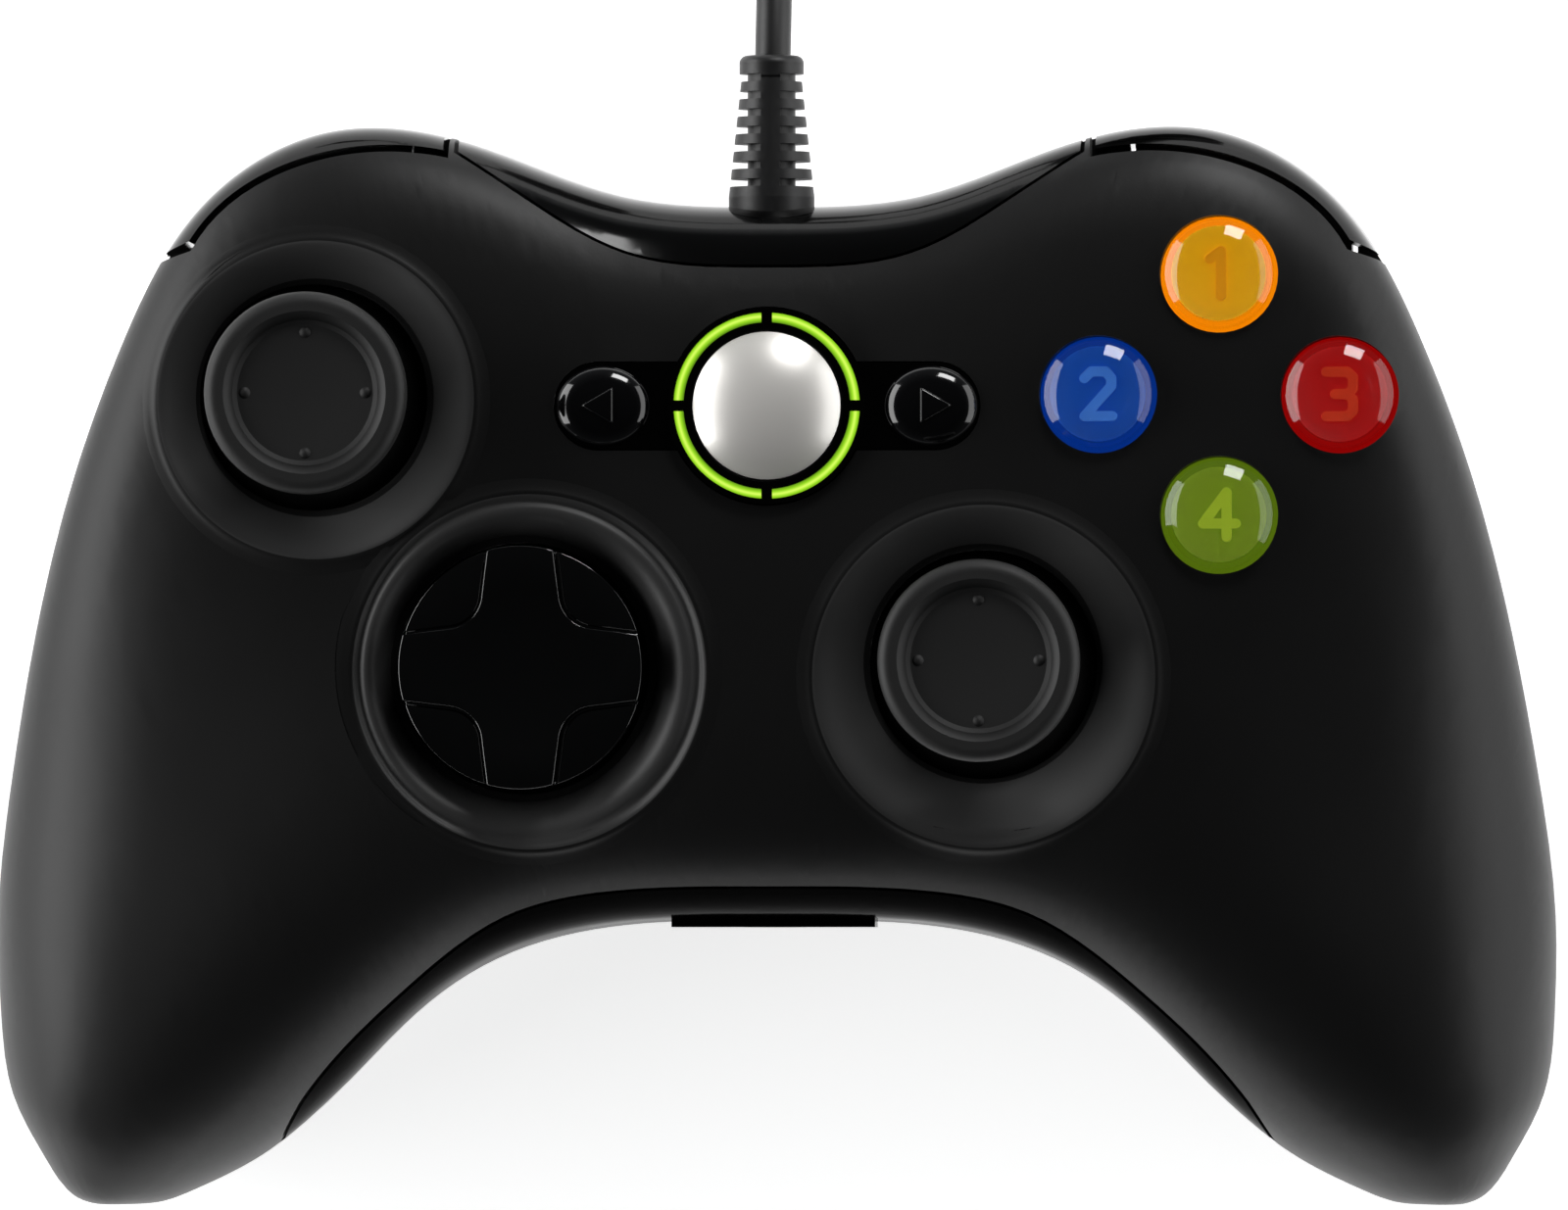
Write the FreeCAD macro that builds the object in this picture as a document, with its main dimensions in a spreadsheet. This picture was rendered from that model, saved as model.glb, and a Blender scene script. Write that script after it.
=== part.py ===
import FreeCAD, Part
import math
import os
from FreeCAD import Vector, Placement, Rotation

# A wired gamepad, in millimetres. +X is the player's right, +Y is the side the
# cable leaves, +Z points out of the face that carries the buttons. The origin is
# under the middle of the body, on the surface the pad rests on.

doc = FreeCAD.newDocument("gamepad")
sheet = doc.addObject("Spreadsheet::Sheet", "sizes")

# Driving sizes
driving_sizes = [
    ("wall", 2.2),
    ("seam_gap", 0.3),
    ("face_height", 43.5),
    ("parting_back", 27.0),
    ("parting_front", 18.0),
    ("parting_tips", 14.0),
    ("trim_gap", 0.3),
    ("bumper_gap", 0.7),
    ("stick_x_left", -44.4),
    ("stick_y_left", 25.4),
    ("stick_x_right", 20.9),
    ("stick_y_right", -0.6),
    ("stick_pivot_height", 31.0),
    ("stick_hole_d", 22.1),
    ("stick_lip_d_left", 31.5),
    ("stick_lip_d_right", 34.2),
    ("stick_cap_d", 19.6),
    ("stick_cap_top", 55.5),
    ("stick_dome_gap", 0.35),
    ("bowl_floor", 38.0),
    ("lip_round", 2.0),
    ("dpad_x", -24.0),
    ("dpad_y", -1.1),
    ("dpad_d", 23.7),
    ("dpad_gap", 0.45),
    ("dpad_lip_d", 35.0),
    ("cluster_x", 44.0),
    ("cluster_y", 25.5),
    ("cluster_radius", 11.75),
    ("button_d", 10.5),
    ("button_gap", 0.5),
    ("button_proud", 2.8),
    ("panel_length", 41.3),
    ("panel_width", 8.4),
    ("centre_y", 24.4),
    ("bezel_d", 19.2),
    ("ring_d", 17.2),
    ("ring_width", 0.9),
    ("guide_d", 14.4),
    ("menu_inset", 4.65),
    ("menu_length", 7.6),
    ("menu_width", 6.3),
    ("board_top", 26.6),
    ("board_thickness", 1.6),
    ("trigger_inner_x", 35.6),
    ("trigger_outer_x", 56.8),
    ("trigger_pin_y", 32.0),
    ("trigger_pin_z", 20.5),
    ("trigger_pin_d", 3.0),
    ("trigger_side_gap", 0.6),
    ("trigger_pull", 15),
    ("trigger_way_y", 35.4),
    ("bumper_pin_x", 33.8),
    ("bumper_pin_y", 47.9),
    ("bumper_pin_d", 1.3),
    ("screw_d", 2.6),
    ("post_d", 6.4),
    ("motor_x", 58.0),
    ("motor_y", -24.0),
    ("motor_d", 22.0),
    ("motor_bottom", 7.0),
    ("motor_length", 12.5),
    ("jack_z", 22.0),
    ("jack_bore_d", 2.6),
    ("cable_d", 3.5),
    ("cable_z", 31.2),
    ("relief_end_y", 59.1),
    ("relief_base_d", 8.4),
    ("relief_tip_d", 5.6),
]
for row, (alias, value) in enumerate(driving_sizes, start=1):
    sheet.set("A%d" % row, alias)
    sheet.set("B%d" % row, str(value))
    sheet.setAlias("B%d" % row, alias)
doc.recompute()


def size(alias):
    return float(sheet.get(alias))


# Small helpers that make one document object each, bound to the sheet
def bind(obj, links):
    for prop, expression in links.items():
        obj.setExpression(prop, expression)
    return obj


def cylinder(name, radius, height, place, turn=None):
    obj = doc.addObject("Part::Cylinder", name)
    bind(obj, {"Radius": radius, "Height": height})
    obj.Placement = Placement(place, turn or Rotation())
    return obj


def cone(name, low, high, height, place, turn=None):
    obj = doc.addObject("Part::Cone", name)
    bind(obj, {"Radius1": low, "Radius2": high, "Height": height})
    obj.Placement = Placement(place, turn or Rotation())
    return obj


def box(name, length, width, height, place):
    obj = doc.addObject("Part::Box", name)
    bind(obj, {"Length": length, "Width": width, "Height": height})
    obj.Placement = Placement(place, Rotation())
    return obj


def sphere(name, radius, place):
    obj = doc.addObject("Part::Sphere", name)
    bind(obj, {"Radius": radius})
    obj.Placement = Placement(place, Rotation())
    return obj


def shape(name, made):
    obj = doc.addObject("Part::Feature", name)
    obj.Shape = made
    return obj


def fuse(name, pieces):
    obj = doc.addObject("Part::MultiFuse", name)
    obj.Shapes = pieces
    return obj


def cut(name, base, tools):
    tool = tools[0] if len(tools) == 1 else fuse(name + "_tools", tools)
    obj = doc.addObject("Part::Cut", name)
    obj.Base = base
    obj.Tool = tool
    return obj


def common(name, first, second):
    obj = doc.addObject("Part::MultiCommon", name)
    obj.Shapes = [first, second]
    return obj


def group(name, pieces):
    obj = doc.addObject("Part::Compound", name)
    obj.Links = pieces
    return obj


def mirrored(name, source):
    obj = doc.addObject("Part::Mirroring", name)
    obj.Source = source
    obj.Normal = Vector(1, 0, 0)
    return obj


nodes = {}


def node(name, obj):
    obj.Label = name
    nodes[name] = obj
    return obj


# The outline of the body seen from above, right half: the back edge runs from
# the middle of the back round the shoulder to the handle's tip, and the front
# edge runs from the middle of the front along the arch to the same tip.
back_edge = [
    (0, 44.3), (12, 44.9), (20, 46.8), (28, 50.0), (34, 51.9), (40, 52.2), (47, 50.6),
    (53, 47.2), (58, 41.5), (62.0, 34.5), (66.2, 24.8), (70.9, 9.4), (74.2, -6.1),
    (76.4, -21.5), (76.9, -31.2), (75.9, -40.8), (73.1, -48.3), (69.4, -52.3),
    (65.2, -53.65),
]
front_edge = [
    (0, -25.5), (12, -25.7), (23.5, -27.7), (29.3, -30.2), (35.1, -34.3), (40.8, -39.9),
    (46.6, -45.4), (52.4, -49.6), (58.2, -52.4), (65.2, -53.65),
]
tip_y = back_edge[-1][1]


# A smooth curve of one value along the body, 0 in the middle and 1 at the tip
def along(pairs):
    curve = Part.BSplineCurve()
    curve.interpolate([Vector(f * 100, value, 0) for f, value in pairs])

    def at(f):
        low = curve.FirstParameter
        high = curve.LastParameter
        for _ in range(40):
            middle = (low + high) / 2
            if curve.value(middle).x < f * 100:
                low = middle
            else:
                high = middle
        return curve.value((low + high) / 2).y

    return at


face = size("face_height")
top_at = along([(0, face), (0.15, face), (0.3, face - 0.3), (0.42, face - 1.3),
                (0.55, face - 3.7), (0.68, face - 7.1), (0.8, face - 11.3),
                (0.9, face - 15), (1, face - 18.5)])
bottom_at = along([(0, -0.6), (0.12, 0.2), (0.25, 3.2), (0.38, 6.5), (0.5, 6.0),
                   (0.62, 3.0), (0.74, 0.2), (0.84, -0.5), (0.92, 0.3), (1, 2)])
square_back = along([(0, 4.0), (0.2, 4.6), (0.42, 5.0), (0.6, 3.2), (0.8, 2.3), (1, 2.0)])
square_front = along([(0, 4.0), (0.3, 3.8), (0.5, 3.2), (0.7, 2.5), (0.85, 2.2), (1, 2.0)])
square_under = along([(0, 3.0), (0.3, 2.6), (0.5, 2.3), (0.7, 2.2), (1, 2.0)])


def eased(low, high, t):
    t = max(0.0, min(1.0, t))
    return low + (high - low) * (0.5 - 0.5 * math.cos(math.pi * t))


# Height of the parting line at the back edge and at the front edge
def parting_back(y):
    return eased(size("parting_tips"), size("parting_back"), (y - tip_y) / 70)


def parting_front(y):
    return eased(size("parting_tips"), size("parting_front"), (y - tip_y) / 28)


# An edge of the outline moved inwards by inset
def edge_curve(points, inset, side):
    start = Vector(1, 0, 0)
    end = Vector(-side, 0, 0)
    curve = Part.BSplineCurve()
    curve.interpolate([Vector(x, y, 0) for x, y in points],
                      InitialTangent=start, FinalTangent=end)
    if inset == 0:
        return curve
    moved = []
    for x, y in points:
        tangent = curve.tangent(curve.parameter(Vector(x, y, 0)))[0]
        inwards = Vector(tangent.y, -tangent.x, 0) * side
        moved.append(Vector(x, y, 0) + inwards * inset)
    inner = Part.BSplineCurve()
    inner.interpolate(moved, InitialTangent=start, FinalTangent=end)
    return inner


def at_fraction(curve, f):
    return curve.value(curve.parameterAtDistance(curve.length() * f, curve.FirstParameter))


# Where the handle starts to close towards its tip, and points per section
closing = 0.8
steps = 16


# One rounded section across the body, from the front edge over to the back edge
def section(f, back, front, inset, lift, upper):
    outer = at_fraction(back, f)
    inner = at_fraction(front, f)
    middle = (outer + inner) * 0.5
    half = (outer - inner) * 0.5
    shut = 1.0
    if f > closing:
        shut = math.sqrt(max(0.0, 1 - ((f - closing) / (1 - closing)) ** 2))
    z_back = parting_back(outer.y) + lift
    z_front = parting_front(inner.y) + lift
    z_mean = (z_back + z_front) / 2
    crest = top_at(f) - inset if upper else bottom_at(f) + inset
    crest = z_mean + (crest - z_mean) * shut
    points = []
    for j in range(steps + 1):
        angle = math.pi * (1 - j / steps)
        c = math.cos(angle)
        s = math.sin(angle)
        power = square_under(f)
        if upper:
            power = square_back(f) if c >= 0 else square_front(f)
        across = c
        up = 0.0
        if 0 < j < steps:
            reach = (abs(c) ** power + abs(s) ** power) ** (-1 / power)
            across = c * reach
            up = s * reach
        level = z_front + (z_back - z_front) * (across + 1) / 2
        place = middle + half * across
        points.append(Vector(place.x, place.y, level + (crest - level) * up))
    return points


# One half of the body's skin: its surface and its two long edges
def half_surface(inset, lift, upper):
    back = edge_curve(back_edge, inset, 1)
    front = edge_curve(front_edge, inset, -1)
    fractions = [closing * i / 9 for i in range(9)]
    fractions += [closing + (1 - closing) * math.sin(math.pi / 2 * i / 6) for i in range(6)]
    right = [section(f, back, front, inset, lift, upper) for f in fractions]
    tip = at_fraction(back, 1)
    right.append([Vector(tip.x, tip.y, parting_back(tip.y) + lift)] * (steps + 1))
    left = [[Vector(-p.x, p.y, p.z) for p in row] for row in right[1:]]
    surface = Part.BSplineSurface()
    surface.interpolate(left[::-1] + right)
    bounds = surface.bounds()
    return surface.toShape(), surface.vIso(bounds[2]).toShape(), surface.vIso(bounds[3]).toShape()


def solid_of(faces):
    shell = Part.makeShell(faces)
    shell.sewShape()
    made = Part.Solid(shell if shell.ShapeType == "Shell" else shell.Shells[0])
    if made.Volume < 0:
        made.reverse()
    return made


# The walls of one half: outer surface, inner surface and the rims at the parting
def half_walls(lift, upper):
    outer, outer_front, outer_back = half_surface(0, lift, upper)
    inner, inner_front, inner_back = half_surface(size("wall"), lift, upper)
    rims = Part.makeRuledSurface(outer_front, inner_front).Faces
    rims += Part.makeRuledSurface(inner_back, outer_back).Faces
    return solid_of([outer, inner] + rims)


# One half filled solid, inset by a little
def half_filled(inset, lift, upper):
    surface, front, back = half_surface(inset, lift, upper)
    return solid_of([surface] + Part.makeRuledSurface(front, back).Faces)


half_gap = size("seam_gap") / 2
upper_skin = half_surface(0, half_gap, True)[0]
under_skin = half_surface(0, -half_gap, False)[0]


# Height of the outside of the face above a point
def face_at(x, y):
    return Part.makeLine(Vector(x, y, 10), Vector(x, y, 70)).distToShape(upper_skin)[1][0][0].z


def belly_at(x, y):
    return Part.makeLine(Vector(x, y, -5), Vector(x, y, 40)).distToShape(under_skin)[1][0][0].z


upper_walls = shape("upper_walls", half_walls(half_gap, True))
under_walls = shape("under_walls", half_walls(-half_gap, False))
upper_filled = shape("upper_filled", half_filled(size("wall") / 2, half_gap, True))
under_filled = shape("under_filled", half_filled(size("wall") / 2, -half_gap, False))


# A closed outline, filled: a smooth curve through the first points and straight
# runs through the far points, all of it moved outwards by grow
def outline_face(smooth, straight, grow, side):
    curve = Part.BSplineCurve()
    curve.interpolate([Vector(x, y, 0) for x, y in smooth])
    moved = []
    last = len(smooth) - 1
    for index, (x, y) in enumerate(smooth):
        tangent = curve.tangent(curve.parameter(Vector(x, y, 0)))[0]
        place = Vector(x + tangent.y * grow * side, y - tangent.x * grow * side, 0)
        if index == 0:
            place -= tangent * grow
        if index == last:
            place += tangent * grow
        moved.append(place)
    line = Part.BSplineCurve()
    line.interpolate(moved)
    edges = [line.toShape()]
    middle_x = sum(x for x, y in straight) / len(straight)
    far = [Vector(x + math.copysign(grow, (x - middle_x) * grow), y, 0) for x, y in straight]
    corners = [moved[-1]] + far + [moved[0]]
    for start, end in zip(corners, corners[1:]):
        edges.append(Part.makeLine(start, end))
    return Part.Face(Part.Wire(edges))


def raised(flat, low, high):
    moved = flat.copy()
    moved.translate(Vector(0, 0, low))
    return moved.extrude(Vector(0, 0, high - low))


# Regions of the upper half that are separate pieces: the glossy trim across the
# back, the two bumpers and the glossy trim under the front arch
back_trim_line = [(-30.6, 49.4), (-23, 44.4), (-14, 39.5), (0, 38.1), (14, 39.5),
                  (23, 44.4), (30.6, 49.4)]
back_trim_far = [(31.0, 60), (-31.0, 60)]
bumper_line = [(31.6, 49.2), (39, 49.7), (46.6, 48.1), (52.5, 44.9), (56.6, 40.2)]
bumper_far = [(70, 35.5), (70, 60), (31.6, 60)]
lower_trim_line = [(-46.5, -43.5), (-41, -37.2), (-36, -32.6), (-31, -28.5), (-25, -25.0),
                   (-17, -23.1), (0, -22.5), (17, -23.1), (25, -25.0), (31, -28.5),
                   (36, -32.6), (41, -37.2), (46.5, -43.5)]
lower_trim_far = [(50, -49), (50, -70), (-50, -70), (-50, -49)]


def region(name, smooth, straight, grow, side=1):
    return shape(name, raised(outline_face(smooth, straight, grow, side), 5, 60))


half_trim_gap = size("trim_gap") / 2
half_bumper_gap = size("bumper_gap") / 2
back_trim_region = region("back_trim_region", back_trim_line, back_trim_far, -half_trim_gap)
back_trim_space = region("back_trim_space", back_trim_line, back_trim_far, half_trim_gap)
lower_trim_region = region("lower_trim_region", lower_trim_line, lower_trim_far,
                           -half_trim_gap, -1)
lower_trim_space = region("lower_trim_space", lower_trim_line, lower_trim_far,
                          half_trim_gap, -1)
bumper_region = region("bumper_region", bumper_line, bumper_far, -half_bumper_gap)
bumper_space = region("bumper_space", bumper_line, bumper_far, half_bumper_gap)
bumper_space_left = mirrored("bumper_space_left", bumper_space)


# A turned piece: its half section, drawn as (radius, height) points about +Z, is
# revolved. A point may carry a third entry: the middle of an arc that ends there.
def turned(name, profile, place=Vector()):
    body = doc.addObject("PartDesign::Body", name)
    sketch = body.newObject("Sketcher::SketchObject", name + "_section")
    plane = [p for p in body.Origin.OriginFeatures if p.Role == "XZ_Plane"][0]
    sketch.AttachmentSupport = [(plane, "")]
    sketch.MapMode = "FlatFace"
    for start, end in zip(profile, profile[1:] + profile[:1]):
        first = Vector(start[0], start[1], 0)
        last = Vector(end[0], end[1], 0)
        if len(end) == 3:
            through = Vector(end[2][0], end[2][1], 0)
            sketch.addGeometry(Part.Arc(first, through, last), False)
        else:
            sketch.addGeometry(Part.LineSegment(first, last), False)
    turn = body.newObject("PartDesign::Revolution", name + "_turn")
    turn.Profile = sketch
    turn.ReferenceAxis = (sketch, ["V_Axis"])
    turn.Angle = 360
    body.Placement = Placement(place, Rotation())
    return body


# A flat piece cut from sheet: closed corner points raised by a bound thickness
def flat_piece(name, corners, thickness, place, holes=()):
    body = doc.addObject("PartDesign::Body", name)
    sketch = body.newObject("Sketcher::SketchObject", name + "_outline")
    plane = [p for p in body.Origin.OriginFeatures if p.Role == "XY_Plane"][0]
    sketch.AttachmentSupport = [(plane, "")]
    sketch.MapMode = "FlatFace"
    for (ax, ay), (bx, by) in zip(corners, corners[1:] + corners[:1]):
        sketch.addGeometry(Part.LineSegment(Vector(ax, ay, 0), Vector(bx, by, 0)), False)
    for x, y, radius in holes:
        sketch.addGeometry(Part.Circle(Vector(x, y, 0), Vector(0, 0, 1), radius), False)
    pad = body.newObject("PartDesign::Pad", name + "_pad")
    pad.Profile = sketch
    bind(pad, {"Length": thickness})
    body.Placement = Placement(place, Rotation())
    return body


# A slot shape: a box with round ends, along X
def slot(name, length, width, height, place):
    straight = doc.addObject("Part::Box", name + "_middle")
    run = "(%s) - (%s)" % (length, width)
    bind(straight, {"Length": run, "Width": width, "Height": height})
    straight.Placement.Base.z = place.z
    bind(straight, {"Placement.Base.x": "%f - (%s) / 2" % (place.x, run),
                    "Placement.Base.y": "%f - (%s) / 2" % (place.y, width)})
    ends = []
    for side in (-1, 1):
        end = cylinder("%s_end%d" % (name, side + 1), "(%s) / 2" % width, height, place)
        bind(end, {"Placement.Base.x": "%f + %d * (%s) / 2" % (place.x, side, run)})
        ends.append(end)
    return fuse(name, [straight] + ends)


def on(x, y, z):
    return Vector(x, y, z)


sticks = {
    "left": (size("stick_x_left"), size("stick_y_left")),
    "right": (size("stick_x_right"), size("stick_y_right")),
}
# Button places: name, numeral, direction from the middle of the cluster
buttons = [("top", 1, 0, 1), ("left", 2, -1, 0), ("right", 3, 1, 0), ("bottom", 4, 0, -1)]
button_places = {}
for name, numeral, dx, dy in buttons:
    x = size("cluster_x") + dx * size("cluster_radius")
    y = size("cluster_y") + dy * size("cluster_radius")
    button_places[name] = (x, y, face_at(x, y))
posts = [(66, -38), (-66, -38), (43.5, -17.5), (-43.5, -17.5), (24, 40.5), (-24, 40.5), (0, 8)]
parting_surface = Part.makeRuledSurface(*half_surface(0, 0, True)[1:])


def parting_at(x, y):
    line = Part.makeLine(Vector(x, y, 5), Vector(x, y, 35))
    return line.distToShape(parting_surface)[1][0][0].z


# A dish sunk in the face: a cone that rolls over into the face, square to the face
# as it slopes there
def dish(name, x, y, low_radius, lip_radius):
    reach = lip_radius * 0.95
    east = face_at(x + reach, y)
    west = face_at(x - reach, y)
    north = face_at(x, y + reach)
    south = face_at(x, y - reach)
    normal = Vector((west - east) / (2 * reach), (south - north) / (2 * reach), 1)
    middle = (east + west + north + south) / 4
    floor = size("bowl_floor") - middle
    roll = size("lip_round")
    slope = math.atan2(-floor - 0.9, lip_radius - 1.6 - low_radius)
    rest = math.radians(12)
    half = (slope + rest) / 2
    end = (lip_radius + 0.7, 0.2)
    centre = (end[0] + roll * math.sin(rest), end[1] - roll * math.cos(rest))
    start = (centre[0] - roll * math.sin(slope), centre[1] + roll * math.cos(slope))
    through = (centre[0] - roll * math.sin(half), centre[1] + roll * math.cos(half))
    profile = [(0, floor), (low_radius, floor), start, (*end, through), (end[0], 9), (0, 9)]
    tool = turned(name, profile)
    tool.Placement = Placement(Vector(x, y, middle), Rotation(Vector(0, 0, 1), normal))
    return tool


# Front shell: the upper walls with bowls for the sticks and the direction pad,
# guides for the buttons and posts for the screws, then every opening cut
added = []
holes = []
floor_z = size("bowl_floor")
for side, (x, y) in sticks.items():
    lip = "stick_lip_d_" + side
    added.append(cone("bowl_" + side, "sizes.stick_hole_d / 2 + 2.25",
                      "sizes.%s / 2 + 2.9" % lip, "9 mm", on(x, y, floor_z - 2.5)))
    holes.append(dish("dish_" + side, x, y, size("stick_hole_d") / 2, size(lip) / 2))
    holes.append(cylinder("throat_" + side, "sizes.stick_hole_d / 2", "20 mm",
                          on(x, y, floor_z - 15)))
    swing = sphere("swing_" + side, "sqrt((sizes.stick_hole_d / 2) ^ 2 +"
                   " (sizes.bowl_floor - sizes.stick_pivot_height) ^ 2)",
                   on(x, y, size("stick_pivot_height")))
    holes.append(swing)
pad_x = size("dpad_x")
pad_y = size("dpad_y")
added.append(cone("bowl_dpad", "sizes.dpad_d / 2 + 2.75", "sizes.dpad_lip_d / 2 + 2.9", "9 mm",
                  on(pad_x, pad_y, floor_z - 2.5)))
holes.append(dish("dish_dpad", pad_x, pad_y, size("dpad_d") / 2 + 1.6, size("dpad_lip_d") / 2))
holes.append(cylinder("throat_dpad", "sizes.dpad_d / 2 + sizes.dpad_gap", "20 mm",
                      on(pad_x, pad_y, floor_z - 15)))
for name, (x, y, z) in button_places.items():
    added.append(cylinder("guide_" + name, "sizes.button_d / 2 + sizes.button_gap + 1.5", "9 mm",
                          on(x, y, z - 5.5)))
    holes.append(cylinder("hole_" + name, "sizes.button_d / 2 + sizes.button_gap", "25 mm",
                          on(x, y, z - 12)))
for index, (x, y) in enumerate(posts):
    added.append(cylinder("front_post%d" % index, "sizes.post_d / 2", "40 mm", on(x, y, 8)))
    holes.append(cylinder("pilot%d" % index, "sizes.screw_d / 2", "9.5 mm",
                          on(x, y, parting_at(x, y) - 1)))
holes.append(slot("panel_slot", "sizes.panel_length + 0.3", "sizes.panel_width + 0.3", "12 mm",
                  on(0, size("centre_y"), 36)))
holes.append(cylinder("panel_round", "sizes.bezel_d / 2 + 0.15", "12 mm",
                      on(0, size("centre_y"), 36)))
front_ribs = common("front_ribs", fuse("front_added", added), upper_filled)
front_blank = fuse("front_blank", [upper_walls, front_ribs])
node("front_shell", cut("front_shell", front_blank, holes + [
    back_trim_space, lower_trim_space, bumper_space, bumper_space_left]))

# Rear shell: the lower walls with screw posts, lugs for the trigger pins and the
# openings the triggers come out of; flat where the pad rests
added = []
holes = []
pin_y = size("trigger_pin_y")
pin_z = size("trigger_pin_z")
for index, (x, y) in enumerate(posts):
    seat = parting_at(x, y) - 4
    added.append(cylinder("rear_post%d" % index, "sizes.post_d / 2", "40 mm", on(x, y, -2)))
    holes.append(cylinder("screw_way%d" % index, "sizes.screw_d / 2 + 0.2", "40 mm", on(x, y, -4)))
    holes.append(cylinder("screw_well%d" % index, "sizes.screw_d / 2 + 1.4", "%f mm" % (seat + 4),
                          on(x, y, -4)))
for side in (-1, 1):
    for near in (size("trigger_inner_x") - 3.1, size("trigger_outer_x") + 0.9):
        place = side * (near + 1.1)
        added.append(box("lug_%d_%d" % (side + 1, near), "2.2 mm", "6.4 mm",
                         "sizes.trigger_pin_z", on(place - 1.1, pin_y - 3.2, 0)))
        added.append(cylinder("lug_eye_%d_%d" % (side + 1, near), "3.2 mm", "2.2 mm",
                              on(place - 1.1, pin_y, pin_z), Rotation(Vector(0, 1, 0), 90)))
    inner = size("trigger_inner_x") - size("trigger_side_gap")
    outer = size("trigger_outer_x") + size("trigger_side_gap")
    left = inner if side > 0 else -outer
    holes.append(box("trigger_way%d" % (side + 1),
                     "sizes.trigger_outer_x - sizes.trigger_inner_x + 2 * sizes.trigger_side_gap",
                     "30 mm", "40 mm", on(left, size("trigger_way_y"), -5)))
for side in (-1, 1):
    place = on(side * size("motor_x"), size("motor_y"), 0)
    cradle = cylinder("cradle%d" % (side + 1), "sizes.motor_d / 2 + 1.4",
                      "sizes.motor_bottom + 5", place)
    hollow = cylinder("cradle_hollow%d" % (side + 1), "sizes.motor_d / 2 - 1.5", "30 mm", place)
    added.append(cut("cradle_ring%d" % (side + 1), cradle, [hollow]))
    holes.append(cylinder("motor_seat%d" % (side + 1), "sizes.motor_d / 2 + 0.15", "30 mm",
                          on(place.x, place.y, size("motor_bottom"))))
stands = []
for side in (-1, 1):
    place = on(side * size("bumper_pin_x"), size("bumper_pin_y"), 5)
    added.append(cylinder("bumper_stand_low%d" % (side + 1), "1.6 mm", "30 mm", place))
    stands.append(cylinder("bumper_stand%d" % (side + 1), "1.6 mm", "7 mm", place + on(0, 0, 15)))
    stands.append(cylinder("bumper_pin%d" % (side + 1), "sizes.bumper_pin_d / 2", "10.6 mm",
                           place + on(0, 0, 15)))
pin_holes = cylinder("pin_holes", "sizes.trigger_pin_d / 2 + 0.05", "120.8 mm",
                     on(-60.4, pin_y, pin_z), Rotation(Vector(0, 1, 0), 90))
lug_middle = box("lug_middle", "60 mm", "20 mm", "30 mm", on(-30, pin_y - 10, 10))
holes.append(cut("pin_eyes", pin_holes, [lug_middle]))
holes.append(box("resting_plane", "200 mm", "200 mm", "20 mm", on(-100, -100, -20)))
rear_ribs = common("rear_ribs", fuse("rear_added", added), under_filled)
pillars = []
for index, (x, y) in enumerate([(29, -12), (-29, -12), (54, 6), (-54, 6), (14, 31), (-14, 31)]):
    foot = belly_at(x, y) + 1.2
    pillars.append(cylinder("board_pillar%d" % index, "2.4 mm",
                            "sizes.board_top - sizes.board_thickness - %f" % foot, on(x, y, foot)))
rear_blank = fuse("rear_blank", [under_walls, rear_ribs] + pillars + stands)
node("rear_shell", cut("rear_shell", rear_blank, holes))

# Glossy trims: across the back with the way for the cable, and under the arch
# with a small plate round the headset socket
trim_walls = common("trim_walls", upper_walls, back_trim_region)
cable_way = cylinder("cable_way", "sizes.relief_base_d / 2 + 0.1", "30 mm",
                     on(0, 30, size("cable_z")), Rotation(Vector(1, 0, 0), -90))
node("back_trim", cut("back_trim", trim_walls, [cable_way]))
arch_walls = common("arch_walls", upper_walls, lower_trim_region)
jack_plate = box("jack_plate", "20 mm", "2.3 mm", "8.4 mm",
                 on(-10, -26.3, size("parting_front") + 0.6))
jack_way = cylinder("jack_way", "3.1 mm", "20 mm", on(0, -15, size("jack_z")),
                    Rotation(Vector(1, 0, 0), 90))
node("lower_trim", cut("lower_trim", fuse("arch_plate", [arch_walls, jack_plate]), [jack_way]))

# Screws: one kind, from behind, through the rear posts into the front ones
screws = []
for index, (x, y) in enumerate(posts):
    seat = parting_at(x, y) - 4
    head = cylinder("screw_head%d" % index, "sizes.screw_d / 2 + 1.2", "1.8 mm", on(x, y, seat - 1.8))
    shank = cylinder("screw_shank%d" % index, "sizes.screw_d / 2 - 0.02", "11.5 mm", on(x, y, seat))
    drive = box("screw_drive%d" % index, "2.6 mm", "0.6 mm", "1 mm", on(x - 1.3, y - 0.3, seat - 1.9))
    cross = box("screw_cross%d" % index, "0.6 mm", "2.6 mm", "1 mm", on(x - 0.3, y - 1.3, seat - 1.9))
    screws.append(cut("screw%d" % index, fuse("screw_blank%d" % index, [head, shank]), [drive, cross]))
node("shell_screws", group("shell_screws", screws))

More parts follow.
